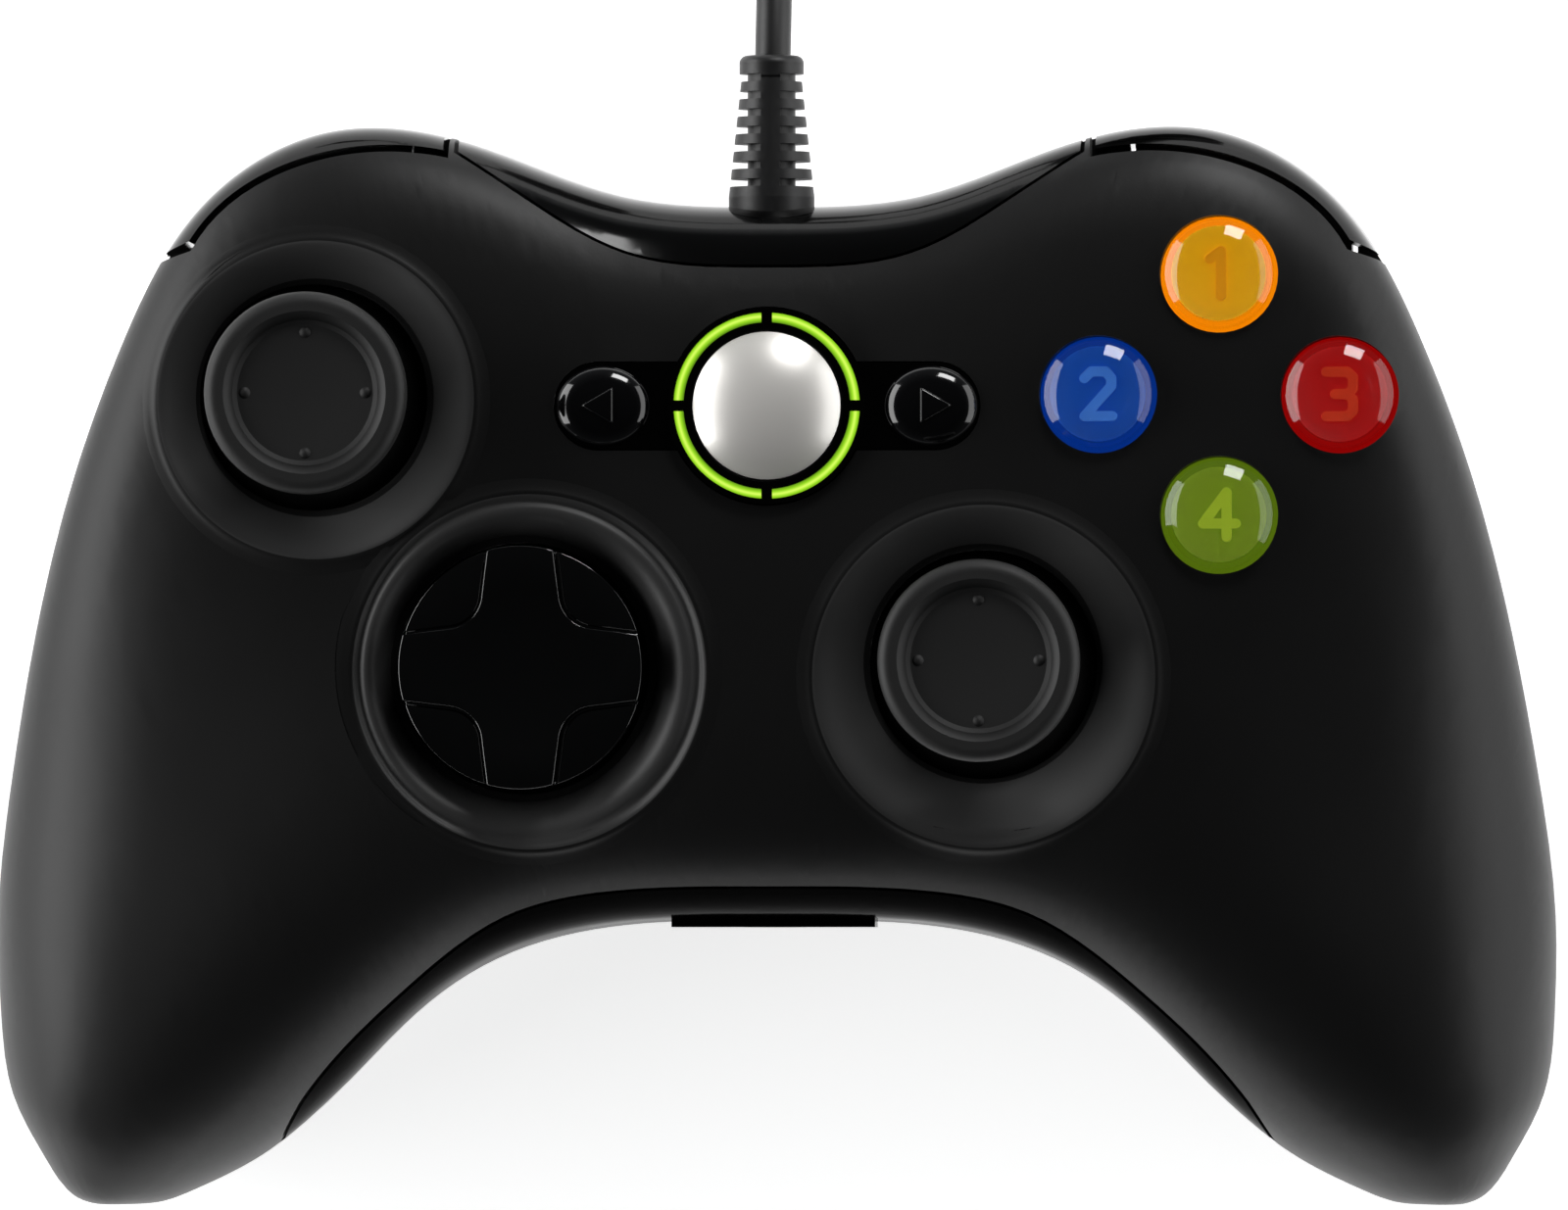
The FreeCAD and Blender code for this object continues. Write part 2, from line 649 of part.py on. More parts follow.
# Bumpers: a strip of the shoulder's wall with a hinge post near the middle of the
# pad and a rib that presses a switch near the outer end
post_x = size("bumper_pin_x")
post_y = size("bumper_pin_y")
bumper_strip = common("bumper_strip", upper_walls, bumper_region)
hinge_post = cylinder("hinge_post", "1.4 mm", "2.4 mm", on(post_x, post_y, 27.7))
hinge_web = box("hinge_web", "2.2 mm", "2.9 mm", "2.4 mm", on(post_x - 0.8, post_y, 27.7))
press_rib = box("press_rib", "2 mm", "6.4 mm", "3.2 mm", on(51.2, 39.8, 27.7))
hinge_bore = cylinder("hinge_bore", "sizes.bumper_pin_d / 2 + 0.05", "9 mm", on(post_x, post_y, 26))
bumper = cut("right_bumper", fuse("bumper_blank", [bumper_strip, hinge_post, hinge_web, press_rib]),
             [hinge_bore])
node("right_bumper", bumper)
node("left_bumper", mirrored("left_bumper", bumper))
doc.recompute()

# Glossy centre panel: a slot shape with a round boss, a rim under the shell, the
# ways for three buttons and a groove for the light ring, broken by four bridges
centre_y = size("centre_y")
panel_top = face - 0.05
boss_top = face + 0.9
flush = slot("panel_flush", "sizes.panel_length", "sizes.panel_width", "2.9 mm",
             on(0, centre_y, panel_top - 2.9))
under_rim = slot("panel_under_rim", "sizes.panel_length + 2", "sizes.panel_width + 2", "1.4 mm",
                 on(0, centre_y, panel_top - 4.3))
boss = cylinder("panel_boss", "sizes.bezel_d / 2", "5.3 mm", on(0, centre_y, boss_top - 5.3))
boss_rim = cylinder("panel_boss_rim", "sizes.bezel_d / 2 + 1", "1.4 mm",
                    on(0, centre_y, panel_top - 5.7))
rim_room = cylinder("panel_rim_room", "sizes.guide_d / 2 + 1.5", "6 mm",
                    on(0, centre_y, boss_top - 11.3))
guide_way = cylinder("guide_way", "sizes.guide_d / 2 + 0.25", "12 mm", on(0, centre_y, 36))
ring_out = cylinder("ring_out", "(sizes.ring_d + sizes.ring_width) / 2 + 0.05", "3 mm",
                    on(0, centre_y, boss_top - 1.2))
ring_in = cylinder("ring_in", "(sizes.ring_d - sizes.ring_width) / 2 - 0.05", "3 mm",
                   on(0, centre_y, boss_top - 1.2))
bridge_x = box("bridge_x", "1 mm", "24 mm", "6 mm", on(-0.5, centre_y - 12, boss_top - 3))
bridge_y = box("bridge_y", "24 mm", "1 mm", "6 mm", on(-12, centre_y - 0.5, boss_top - 3))
groove = cut("ring_groove", ring_out, [ring_in, bridge_x, bridge_y])
menu_ways = []
menu_x = size("panel_length") / 2 - size("menu_inset")


# An upright oval prism
def oval(name, long_radius, short_radius, height, place):
    obj = doc.addObject("Part::Ellipse", name + "_edge")
    bind(obj, {"MajorRadius": long_radius, "MinorRadius": short_radius})
    raised_oval = doc.addObject("Part::Extrusion", name)
    raised_oval.Base = obj
    raised_oval.Dir = Vector(0, 0, 1)
    raised_oval.Solid = True
    raised_oval.LengthFwd = height
    obj.Placement = Placement(place, Rotation())
    return raised_oval


for side in (-1, 1):
    menu_ways.append(oval("menu_way%d" % (side + 1), "sizes.menu_length / 2 + 0.2",
                          "sizes.menu_width / 2 + 0.2", 12, on(side * menu_x, centre_y, 36)))
panel_blank = fuse("panel_blank", [flush, under_rim, boss, boss_rim])
node("centre_panel", cut("centre_panel", panel_blank, [guide_way, groove, rim_room] + menu_ways))

# Light ring: four curved light pipes in the groove
ring_wide = cylinder("ring_wide", "(sizes.ring_d + sizes.ring_width) / 2", "1.3 mm",
                     on(0, centre_y, boss_top - 1.2))
ring_core = cylinder("ring_core", "(sizes.ring_d - sizes.ring_width) / 2", "3 mm",
                     on(0, centre_y, boss_top - 2))
gap_x = box("ring_gap_x", "1.1 mm", "24 mm", "6 mm", on(-0.55, centre_y - 12, boss_top - 3))
gap_y = box("ring_gap_y", "24 mm", "1.1 mm", "6 mm", on(-12, centre_y - 0.55, boss_top - 3))
node("light_ring", cut("light_ring", ring_wide, [ring_core, gap_x, gap_y]))

# The end of a profile on its axis: a round crown from an edge radius up to a top
def crown(radius, edge, top):
    rise = top - edge
    curve_r = (radius ** 2 + rise ** 2) / (2 * abs(rise))
    drop = curve_r - math.sqrt(curve_r ** 2 - radius ** 2 / 4)
    return (0, top, (radius / 2, top - math.copysign(drop, rise)))


# Guide button: a domed cap on a stem
mat_top = size("board_top") + 3.2
guide_r = size("guide_d") / 2
guide_rise = 2.3
node("guide_button", turned("guide_button", [
    (0, mat_top), (3, mat_top), (3, 38.6), (guide_r + 1.2, 38.6), (guide_r + 1.2, 39.0),
    (guide_r, 39.0), (guide_r, boss_top - 0.1), crown(guide_r, boss_top - 0.1, boss_top + guide_rise),
], on(0, centre_y, 0)))


# Back and start buttons: domed ovals with a raised triangle, on stems
def menu_button(name, side):
    place = on(side * menu_x, centre_y, 38.5)
    body = oval(name + "_body", "sizes.menu_length / 2", "sizes.menu_width / 2", 7, place)
    dome = sphere(name + "_dome", "14 mm", on(side * menu_x, centre_y, face + 0.9 - 14))
    cap = common(name + "_cap", body, dome)
    foot = oval(name + "_foot", "sizes.menu_length / 2 + 0.8", "sizes.menu_width / 2 + 0.8", 0.5,
                on(side * menu_x, centre_y, 38.5))
    stem = box(name + "_stem", "3 mm", "3 mm", "%f mm" % (39 - mat_top),
               on(side * menu_x - 1.5, centre_y - 1.5, mat_top))
    tip = side * menu_x + side * 1.9
    heel = side * menu_x - side * 1.2
    corners = [Vector(tip, centre_y, 0), Vector(heel, centre_y + 1.8, 0),
               Vector(heel, centre_y - 1.8, 0)]
    triangle = shape(name + "_triangle", raised(Part.Face(Part.makePolygon(
        corners + corners[:1])), face - 0.5, face + 1.1))
    return fuse(name, [cap, foot, stem, triangle])


node("back_button", menu_button("back_button", -1))
node("start_button", menu_button("start_button", 1))


# A numeral of even strokes, standing for the face button's mark
def numeral_solid(numeral, low, high):
    strokes = {
        1: [[(-0.8, 1.3), (0.2, 2.0), (0.2, -2.0)]],
        2: [[(-1.2, 1.4), (-0.6, 2.0), (0.7, 2.0), (1.2, 1.4), (1.2, 0.7), (-1.2, -2.0),
             (1.3, -2.0)]],
        3: [[(-1.2, 2.0), (0.7, 2.0), (1.2, 1.5), (1.2, 0.5), (0.7, 0.0), (-0.4, 0.0)],
            [(0.7, 0.0), (1.2, -0.5), (1.2, -1.5), (0.7, -2.0), (-1.2, -2.0)]],
        4: [[(0.7, -2.0), (0.7, 2.0), (-1.4, -0.8), (1.5, -0.8)]],
    }
    width = 0.9
    bars = []
    for stroke in strokes[numeral]:
        for (ax, ay), (bx, by) in zip(stroke, stroke[1:]):
            start = Vector(ax, ay, low)
            end = Vector(bx, by, low)
            away = (end - start).normalize()
            side = Vector(-away.y, away.x, 0) * (width / 2)
            corners = [start + side, end + side, end - side, start - side, start + side]
            bars.append(Part.Face(Part.makePolygon(corners)).extrude(Vector(0, 0, high - low)))
        for x, y in stroke:
            bars.append(Part.makeCylinder(width / 2, high - low, Vector(x, y, low)))
    return bars[0].multiFuse(bars[1:])


# Face buttons: a clear domed lens over a coloured core that carries a numeral
lens_r = size("button_d") / 2
lens_lip = 0.75
for name, numeral, dx, dy in buttons:
    x, y, z = button_places[name]
    foot_top = z - 5.9
    proud = size("button_proud")
    lens_profile = [
        (lens_r - 0.75, foot_top - 1.2), (lens_r + lens_lip, foot_top - 1.2),
        (lens_r + lens_lip, foot_top), (lens_r, foot_top), (lens_r, z + proud - 1.7),
        crown(lens_r, z + proud - 1.7, z + proud),
        (0, z + 0.8), (lens_r - 0.75, z + 0.8),
    ]
    node(name + "_button", turned(name + "_button", lens_profile, on(x, y, 0)))
    core_top = z + 0.35
    foot_low = size("board_top") + 4.0
    core = turned(name + "_core_body", [
        (0, foot_low), (2.6, foot_low), (2.6, foot_top - 3.2), (lens_r + lens_lip, foot_top - 3.2),
        (lens_r + lens_lip, foot_top - 1.2), (lens_r - 0.8, foot_top - 1.2),
        (lens_r - 0.8, core_top), (0, core_top)], on(x, y, 0))
    mark = numeral_solid(numeral, core_top - 0.2, core_top + 0.3)
    mark.translate(Vector(x, y, 0))
    node(name + "_core", fuse(name + "_core", [core, shape(name + "_mark", mark)]))

# Rubber mats with a dome under every button
domes = []
board_z = size("board_top")
for name, (x, y, z) in button_places.items():
    domes.append(cylinder("mat_disc_" + name, "5 mm", "1 mm", on(x, y, board_z)))
    domes.append(cone("mat_dome_" + name, "4 mm", "2.8 mm", "3 mm", on(x, y, board_z + 1)))
cluster_x = size("cluster_x")
cluster_y = size("cluster_y")
domes.append(box("mat_web_x", "26 mm", "2.4 mm", "0.8 mm", on(cluster_x - 13, cluster_y - 1.2, board_z)))
domes.append(box("mat_web_y", "2.4 mm", "26 mm", "0.8 mm", on(cluster_x - 1.2, cluster_y - 13, board_z)))
node("face_button_mat", fuse("face_button_mat", domes))
domes = [box("centre_mat_web", "38 mm", "4 mm", "0.8 mm", on(-19, centre_y - 2, board_z))]
for index, x in enumerate((-menu_x, 0, menu_x)):
    domes.append(cylinder("centre_disc%d" % index, "4 mm", "0.8 mm", on(x, centre_y, board_z)))
    domes.append(cone("centre_dome%d" % index, "3.4 mm", "2.4 mm", "2.4 mm",
                      on(x, centre_y, board_z + 0.8)))
node("centre_mat", fuse("centre_mat", domes))

# Direction pad: a disc with a raised cross whose arms widen outwards, on a centre
# pillar; a small rocker plate carries it and four domes lie under its arms
dpad_r = size("dpad_d") / 2
arm = 4.1
arm_end = 2.9
waist = 3.5
cross_corners = []
for quarter in range(4):
    turn = Rotation(Vector(0, 0, 1), 90 * quarter)
    for point in ((dpad_r + 2, -arm_end), (dpad_r + 2, arm_end), (arm, arm)):
        cross_corners.append(turn.multVec(Vector(point[0], point[1], 0)))
cross_face = Part.Face(Part.makePolygon(cross_corners + cross_corners[:1]))
cross_solid = cross_face.extrude(Vector(0, 0, 8.6))
inner_edges = [e for e in cross_solid.Edges if e.BoundBox.ZLength > 8
               and Vector(e.BoundBox.Center.x, e.BoundBox.Center.y, 0).Length < 2 * arm]
cross_solid = cross_solid.makeFillet(waist, inner_edges)
cross_grown = cross_face.makeOffset2D(0.35, 2).extrude(Vector(0, 0, 4))
grown_edges = [e for e in cross_grown.Edges if e.BoundBox.ZLength > 3
               and Vector(e.BoundBox.Center.x, e.BoundBox.Center.y, 0).Length < 2 * arm + 1]
cross_grown = cross_grown.makeFillet(waist - 0.35, grown_edges)
pad_low = 36.4
cross_solid.translate(Vector(pad_x, pad_y, pad_low))
cross_grown.translate(Vector(pad_x, pad_y, 41.3))
disc = cylinder("dpad_disc", "sizes.dpad_d / 2", "6.4 mm", on(pad_x, pad_y, pad_low))
facets = cut("dpad_facets", disc, [shape("dpad_groove", cross_grown)])
arms = common("dpad_arms", shape("dpad_cross", cross_solid),
              cylinder("dpad_round", "sizes.dpad_d / 2", "9 mm", on(pad_x, pad_y, pad_low)))
hollow = sphere("dpad_hollow", "46 mm", on(pad_x, pad_y, pad_low + 8.6 - 0.9 + 46))
under = cylinder("dpad_under", "sizes.dpad_d / 2 - 1.8", "3 mm", on(pad_x, pad_y, pad_low - 1))
pillar = cylinder("dpad_pillar", "2.4 mm", "%f mm" % (pad_low + 3 - 32), on(pad_x, pad_y, 32))
top_body = cut("dpad_top", fuse("dpad_body", [facets, arms]), [hollow, under])
node("dpad", fuse("dpad", [top_body, pillar]))
plate = box("rocker_plate", "14 mm", "3 mm", "1.6 mm", on(pad_x - 7, pad_y - 1.5, 29.8))
socket_ring = cylinder("rocker_ring", "4 mm", "1.9 mm", on(pad_x, pad_y, 29.8))
node("dpad_rocker", fuse("dpad_rocker", [plate, socket_ring]))
domes = [cylinder("dpad_mat_sheet", "10.8 mm", "0.8 mm", on(pad_x, pad_y, board_z))]
for quarter in range(4):
    angle = math.pi / 2 * quarter
    place = on(pad_x + 7.5 * math.cos(angle), pad_y + 7.5 * math.sin(angle), board_z + 0.8)
    domes.append(cone("dpad_dome%d" % quarter, "2.9 mm", "2.2 mm", "2 mm", place))
domes.append(cylinder("dpad_rest", "2 mm", "2.9 mm", on(pad_x, pad_y, board_z)))
node("dpad_mat", fuse("dpad_mat", domes))
doc.recompute()

# Sticks: a rubber-faced cap on a shaft whose dome fills the hole in the face; the
# shaft slides in a ball; the ball turns in a ring that tilts left and right on
# the frame, and a slotted arch reads the other tilt
pivot_z = size("stick_pivot_height")
swing_r = math.hypot(size("stick_hole_d") / 2, size("bowl_floor") - pivot_z)
dome_r = swing_r - size("stick_dome_gap")
dome_in = dome_r - 1.25
skirt = math.radians(74)
neck_r = 4.4
stem_r = 2.0
cap_r = size("stick_cap_d") / 2
cap_z = size("stick_cap_top") - pivot_z


def on_arc(radius, angle):
    return (radius * math.sin(angle), radius * math.cos(angle))


def reach(radius, at):
    return math.sqrt(radius ** 2 - at ** 2)


top_in = math.asin(stem_r / dome_in)
top_out = math.asin(neck_r / dome_r)
shaft_profile = [
    (0, -0.4), (stem_r, -0.4), (stem_r, reach(dome_in, stem_r)),
    (*on_arc(dome_in, skirt), on_arc(dome_in, (skirt + top_in) / 2)),
    on_arc(dome_r, skirt),
    (neck_r, reach(dome_r, neck_r), on_arc(dome_r, (skirt + top_out) / 2)),
    (neck_r, cap_z - 9.5), (3.6, cap_z - 9.5), (3.6, cap_z - 5), (0, cap_z - 5),
]
cap_profile = [
    (3.65, cap_z - 9.4), (5.6, cap_z - 9.4), (6.2, cap_z - 6.2), (8.9, cap_z - 4.6),
    (cap_r, cap_z - 3.2, (cap_r - 0.25, cap_z - 4.1)), (cap_r, cap_z - 1.3),
    (cap_r - 1.2, cap_z, (cap_r - 0.32, cap_z - 0.35)), (cap_r - 1.9, cap_z),
    (7.05, cap_z - 1.0, (7.5, cap_z - 0.3)), (6.6, cap_z - 1.2),
    crown(6.6, cap_z - 1.2, cap_z - 1.45),
    (0, cap_z - 4.95), (3.65, cap_z - 4.95),
]
along_x = Rotation(Vector(0, 1, 0), 90)
along_y = Rotation(Vector(1, 0, 0), -90)
stick_sensors = []
stick_switches = []
for side, (x, y) in sticks.items():
    name = side + "_stick_"
    pivot = on(x, y, pivot_z)
    node(name + "shaft", turned(name + "shaft", shaft_profile, pivot))
    cap_body = turned(name + "cap_body", cap_profile, pivot)
    dots = []
    for quarter in range(4):
        angle = math.pi / 2 * quarter
        spot = on(x + 5.9 * math.cos(angle), y + 5.9 * math.sin(angle), pivot_z + cap_z - 1.75)
        dots.append(sphere(name + "dot%d" % quarter, "0.75 mm", spot))
    node(name + "cap", fuse(name + "cap", [cap_body] + dots))

    ball_round = sphere(name + "ball_round", "3.3 mm", pivot)
    ball_flat = box(name + "ball_flat", "8 mm", "8 mm", "4 mm", on(x - 4, y - 4, pivot_z + 2.4))
    ball_bore = cylinder(name + "ball_bore", "2.05 mm", "6 mm", on(x, y, pivot_z - 1.1))
    ball_pins = cylinder(name + "ball_pins", "0.9 mm", "9.6 mm", on(x, y - 4.8, pivot_z), along_y)
    ball = cut(name + "ball", fuse(name + "ball_blank", [ball_round, ball_pins]),
               [ball_flat, ball_bore])
    node(name + "ball", ball)

    ring_disc = cylinder(name + "ring_disc", "5.5 mm", "2.6 mm", on(x, y, pivot_z - 1.3))
    ring_pins = cylinder(name + "ring_pins", "1.1 mm", "15.4 mm", on(x - 7.7, y, pivot_z), along_x)
    ring_room = cylinder(name + "ring_room", "3.75 mm", "4 mm", on(x, y, pivot_z - 2))
    ring_eyes = cylinder(name + "ring_eyes", "0.95 mm", "12 mm", on(x, y - 6, pivot_z), along_y)
    node(name + "ring", cut(name + "ring", fuse(name + "ring_blank", [ring_disc, ring_pins]),
                            [ring_room, ring_eyes]))

    band = cylinder(name + "band", "6.9 mm", "6 mm", on(x - 3, y, pivot_z), along_x)
    band_in = cylinder(name + "band_in", "5.9 mm", "8 mm", on(x - 4, y, pivot_z), along_x)
    band_low = box(name + "band_low", "10 mm", "20 mm", "10 mm", on(x - 5, y - 10, pivot_z - 10))
    band_slot = box(name + "band_slot", "4.2 mm", "10 mm", "10 mm", on(x - 2.1, y - 5, pivot_z))
    arch = cut(name + "arch_band", band, [band_in, band_low, band_slot])
    pin_front = cylinder(name + "pin_front", "1.1 mm", "2.1 mm", on(x, y - 8, pivot_z), along_y)
    pin_back = cylinder(name + "pin_back", "1.1 mm", "2.1 mm", on(x, y + 5.9, pivot_z), along_y)
    node(name + "arch", fuse(name + "arch", [arch, pin_front, pin_back]))

    low = pivot_z - size("board_top")
    frame_box = box(name + "frame_box", "15.6 mm", "16.2 mm", "%f mm" % (low + 1.7),
                    on(x - 7.8, y - 8.1, size("board_top")))
    frame_round = cylinder(name + "frame_round", "9.7 mm", "12 mm", on(x, y, size("board_top")))
    frame_room = box(name + "frame_room", "13.2 mm", "14.2 mm", "12 mm",
                     on(x - 6.6, y - 7.1, size("board_top") + 0.8))
    frame_x = cylinder(name + "frame_x", "1.15 mm", "20 mm", on(x - 10, y, pivot_z), along_x)
    frame_y = cylinder(name + "frame_y", "1.15 mm", "22 mm", on(x, y - 11, pivot_z), along_y)
    frame = common(name + "frame_blank", frame_box, frame_round)
    node(name + "frame", cut(name + "frame", frame, [frame_room, frame_x, frame_y]))
    sensor_x = box(name + "sensor_x", "2.2 mm", "6.4 mm", "%f mm" % (low + 1.7),
                   on(x + 7.9, y - 3.2, size("board_top")))
    sensor_y = box(name + "sensor_y", "6 mm", "2.2 mm", "%f mm" % (low + 1.7),
                   on(x - 3, y + 8.2, size("board_top")))
    stick_sensors += [sensor_x, sensor_y]
    switch_box = box(name + "switch_box", "6 mm", "2.4 mm", "3.4 mm",
                     on(x - 3, y - 10.6, size("board_top")))
    switch_top = cylinder(name + "switch_top", "0.9 mm", "1 mm",
                          on(x, y - 9.4, size("board_top") + 3.2))
    stick_switches.append(fuse(name + "switch", [switch_box, switch_top]))
node("stick_sensors", group("stick_sensors", stick_sensors))
node("stick_switches", group("stick_switches", stick_switches))
doc.recompute()

# Triggers: a blade that follows the shoulder, two arms back to a hub on a pin
trigger_in = size("trigger_inner_x")
trigger_out = size("trigger_outer_x")


# The plan of the right half of the body, moved in by an inset and raised
def plan_solid(inset, low, high):
    back = edge_curve(back_edge, inset, 1).toShape()
    first = back.Vertexes[0].Point
    last = back.Vertexes[-1].Point
    corner = Vector(0, last.y, 0)
    wire = Part.Wire([back, Part.makeLine(last, corner), Part.makeLine(corner, first)])
    return raised(Part.Face(wire), low, high)


blade_plan = shape("blade_plan", plan_solid(0.5, 7, 26))
blade_behind = shape("blade_behind", plan_solid(4.6, 5, 30))
blade_box = box("blade_box", "sizes.trigger_outer_x - sizes.trigger_inner_x", "30 mm", "30 mm",
                on(trigger_in, size("trigger_way_y") + 0.6, 5))
pulled_room = box("pulled_room", "40 mm", "30 mm", "60 mm", on(0, 0, 0))
pull_turn = Rotation(Vector(1, 0, 0), size("trigger_pull"))
pulled_room.Placement = Placement(
    on(trigger_in - 5, pin_y, pin_z)
    + pull_turn.multVec(Vector(0, size("trigger_way_y") + 0.5 - pin_y - 30, -30)), pull_turn)
blade_full = cut("blade_full", common("blade_front", blade_plan, blade_box), [blade_behind])
blade = cut("blade", blade_full, [pulled_room])
arms = []
for index, x in enumerate((trigger_in, trigger_out - 2.4)):
    arms.append(box("trigger_arm%d" % index, "2.4 mm", "17 mm", "5.4 mm", on(x, pin_y, pin_z - 1.6)))
    arms.append(cylinder("trigger_eye%d" % index, "3.1 mm", "2.4 mm", on(x, pin_y, pin_z), along_x))
arms.append(cylinder("trigger_hub", "2.5 mm", "sizes.trigger_outer_x - sizes.trigger_inner_x",
                     on(trigger_in, pin_y, pin_z), along_x))
arms_plan = shape("arms_plan", plan_solid(1.0, 7, 24.4))
trigger_arms = common("trigger_arms", fuse("trigger_arm_blank", arms), arms_plan)
chord = Vector(trigger_out - trigger_in, -11.2, 0).normalize()
scoop_from = Vector(trigger_in, 52.0, 14.5) + Vector(-chord.y, chord.x, 0) * 15.6 - chord * 5
scoop = cylinder("trigger_scoop", "14 mm", "36 mm", scoop_from, Rotation(Vector(0, 0, 1), chord))
trigger_bore = cylinder("trigger_bore", "sizes.trigger_pin_d / 2 + 0.03", "30 mm",
                        on(trigger_in - 3, pin_y, pin_z), along_x)
trigger = cut("right_trigger", fuse("trigger_blank", [blade, trigger_arms]), [scoop, trigger_bore])
node("right_trigger", trigger)
node("left_trigger", mirrored("left_trigger", trigger))
pin = cylinder("right_trigger_pin", "sizes.trigger_pin_d / 2", "30.2 mm", on(30.1, pin_y, pin_z),
               along_x)
node("right_trigger_pin", pin)
node("left_trigger_pin", mirrored("left_trigger_pin", pin))
sensor_box = box("sensor_box", "4 mm", "6 mm", "7.5 mm", on(28.2, pin_y - 3, pin_z - 3.6))
sensor_bore = cylinder("sensor_bore", "sizes.trigger_pin_d / 2 + 0.05", "4 mm",
                       on(29.9, pin_y, pin_z), along_x)
sensor = cut("trigger_sensor", sensor_box, [sensor_bore])
node("trigger_sensors", group("trigger_sensors", [sensor, mirrored("trigger_sensor_left", sensor)]))


# A torsion spring round the hub: a coil with one leg down to the rear shell's floor
# and one forward to the back of the blade; it turns with the trigger
def torsion_spring():
    wire_r = 0.35
    coil_r = 3.3
    pitch = 0.9
    turns = 4.75
    place = Vector(42, pin_y, pin_z)
    floor = belly_at(place.x, pin_y + coil_r) + size("wall") + 0.55
    helix = Part.makeHelix(pitch, pitch * turns, coil_r)
    start = Vector(coil_r, 0, 0)
    end = Vector(0, -coil_r, pitch * turns)
    ring = Part.Wire([Part.Circle(start, Vector(0, 1, 0), wire_r).toShape()])
    coil = Part.Wire(helix.Edges).makePipeShell([ring], True, True)
    shell_leg = Part.makeCylinder(wire_r, pin_z - floor, start, Vector(0, -1, 0))
    blade_leg = Part.makeCylinder(wire_r, 13.75, end, Vector(1, 0, 0))
    spring = coil.fuse([shell_leg, blade_leg])
    spring.rotate(Vector(), Vector(0, 1, 0), 90)
    spring.rotate(Vector(), Vector(1, 0, 0), 90)
    spring.translate(place)
    return spring


spring = shape("right_trigger_spring", torsion_spring())
node("right_trigger_spring", spring)
node("left_trigger_spring", mirrored("left_trigger_spring", spring))

# Bumper switches, one under the outer end of each bumper
switch_body = box("bumper_switch_body", "3.4 mm", "2.2 mm", "4.6 mm", on(50.5, 36.9, board_z))
plunger = cylinder("bumper_plunger", "0.8 mm", "1 mm", on(52.2, 38.35, 29.2), along_y)
switch = fuse("bumper_switch", [switch_body, plunger])
node("bumper_switches", group("bumper_switches", [switch, mirrored("bumper_switch_left", switch)]))

# Rumble motors, one in each grip, with half-round weights on their shafts: a
# thick one on the left and a thin one on the right
motor_top = size("motor_bottom") + size("motor_length")
for side, sign, thick in (("left", -1, 5.5), ("right", 1, 3.4)):
    place = on(sign * size("motor_x"), size("motor_y"), size("motor_bottom"))
    can = cylinder(side + "_can", "sizes.motor_d / 2", "sizes.motor_length", place)
    nose = cylinder(side + "_nose", "3 mm", "1 mm", on(place.x, place.y, motor_top))
    bore = cylinder(side + "_motor_bore", "1.05 mm", "12 mm", on(place.x, place.y, motor_top - 8))
    node(side + "_motor", cut(side + "_motor", fuse(side + "_motor_blank", [can, nose]), [bore]))
    shaft = cylinder(side + "_weight_shaft", "1 mm", "%f mm" % (9.8 + thick),
                     on(place.x, place.y, motor_top - 7.8))
    hub = cylinder(side + "_weight_hub", "2.8 mm", "%f mm" % thick, on(place.x, place.y, motor_top + 1.4))
    disc = cylinder(side + "_weight_disc", "9.6 mm", "%f mm" % thick, on(place.x, place.y, motor_top + 1.4))
    disc.Angle = 170
    node(side + "_motor_weight", fuse(side + "_motor_weight", [shaft, hub, disc]))

# Main board with its larger parts, and the headset socket
board_corners = [
    (30, 36), (36, 42.4), (48, 42.4), (51, 39.8), (54.2, 37.2), (57.5, 32), (61.5, 24),
    (62, 14), (60, -7),
    (46, -10), (37, -13), (35, -20), (20, -21), (-20, -21), (-35, -20), (-37, -13), (-46, -10),
    (-60, -7), (-62, 14), (-61.5, 24), (-57.5, 32), (-54.2, 37.2), (-51, 39.8), (-48, 42.4),
    (-36, 42.4), (-30, 36),
]
board_holes = [(0, 8, size("post_d") / 2 + 0.5)]
node("main_board", flat_piece("main_board", board_corners, "sizes.board_thickness",
                              on(0, 0, board_z - size("board_thickness")), board_holes))
fitted = [
    box("processor", "9 mm", "9 mm", "1.2 mm", on(-4.5, -14, board_z)),
    box("driver_chip", "6 mm", "5 mm", "1.2 mm", on(-42, 4, board_z)),
    box("power_chip", "5 mm", "4 mm", "1.2 mm", on(40, -2, board_z)),
    box("crystal", "5 mm", "2 mm", "1.6 mm", on(-10, -18, board_z)),
    box("cable_plug", "8 mm", "4.5 mm", "5 mm", on(-4, 30.5, board_z)),
]
for index, x in enumerate((-46, 46)):
    fitted.append(box("motor_plug%d" % index, "4 mm", "4 mm", "3.5 mm", on(x - 2, -6, board_z)))
for index in range(4):
    angle = math.pi / 4 + math.pi / 2 * index
    fitted.append(box("lamp%d" % index, "1.6 mm", "1.6 mm", "0.8 mm",
                      on(9 * math.cos(angle) - 0.8, centre_y + 9 * math.sin(angle) - 0.8, board_z)))
node("board_parts", group("board_parts", fitted))
jack_z = size("jack_z")
jack_body = box("jack_body", "9 mm", "11 mm", "5.9 mm", on(-4.5, -22.6, jack_z - 2.9))
jack_nose = cylinder("jack_nose", "2.9 mm", "4 mm", on(0, -21.9, jack_z), Rotation(Vector(1, 0, 0), 90))
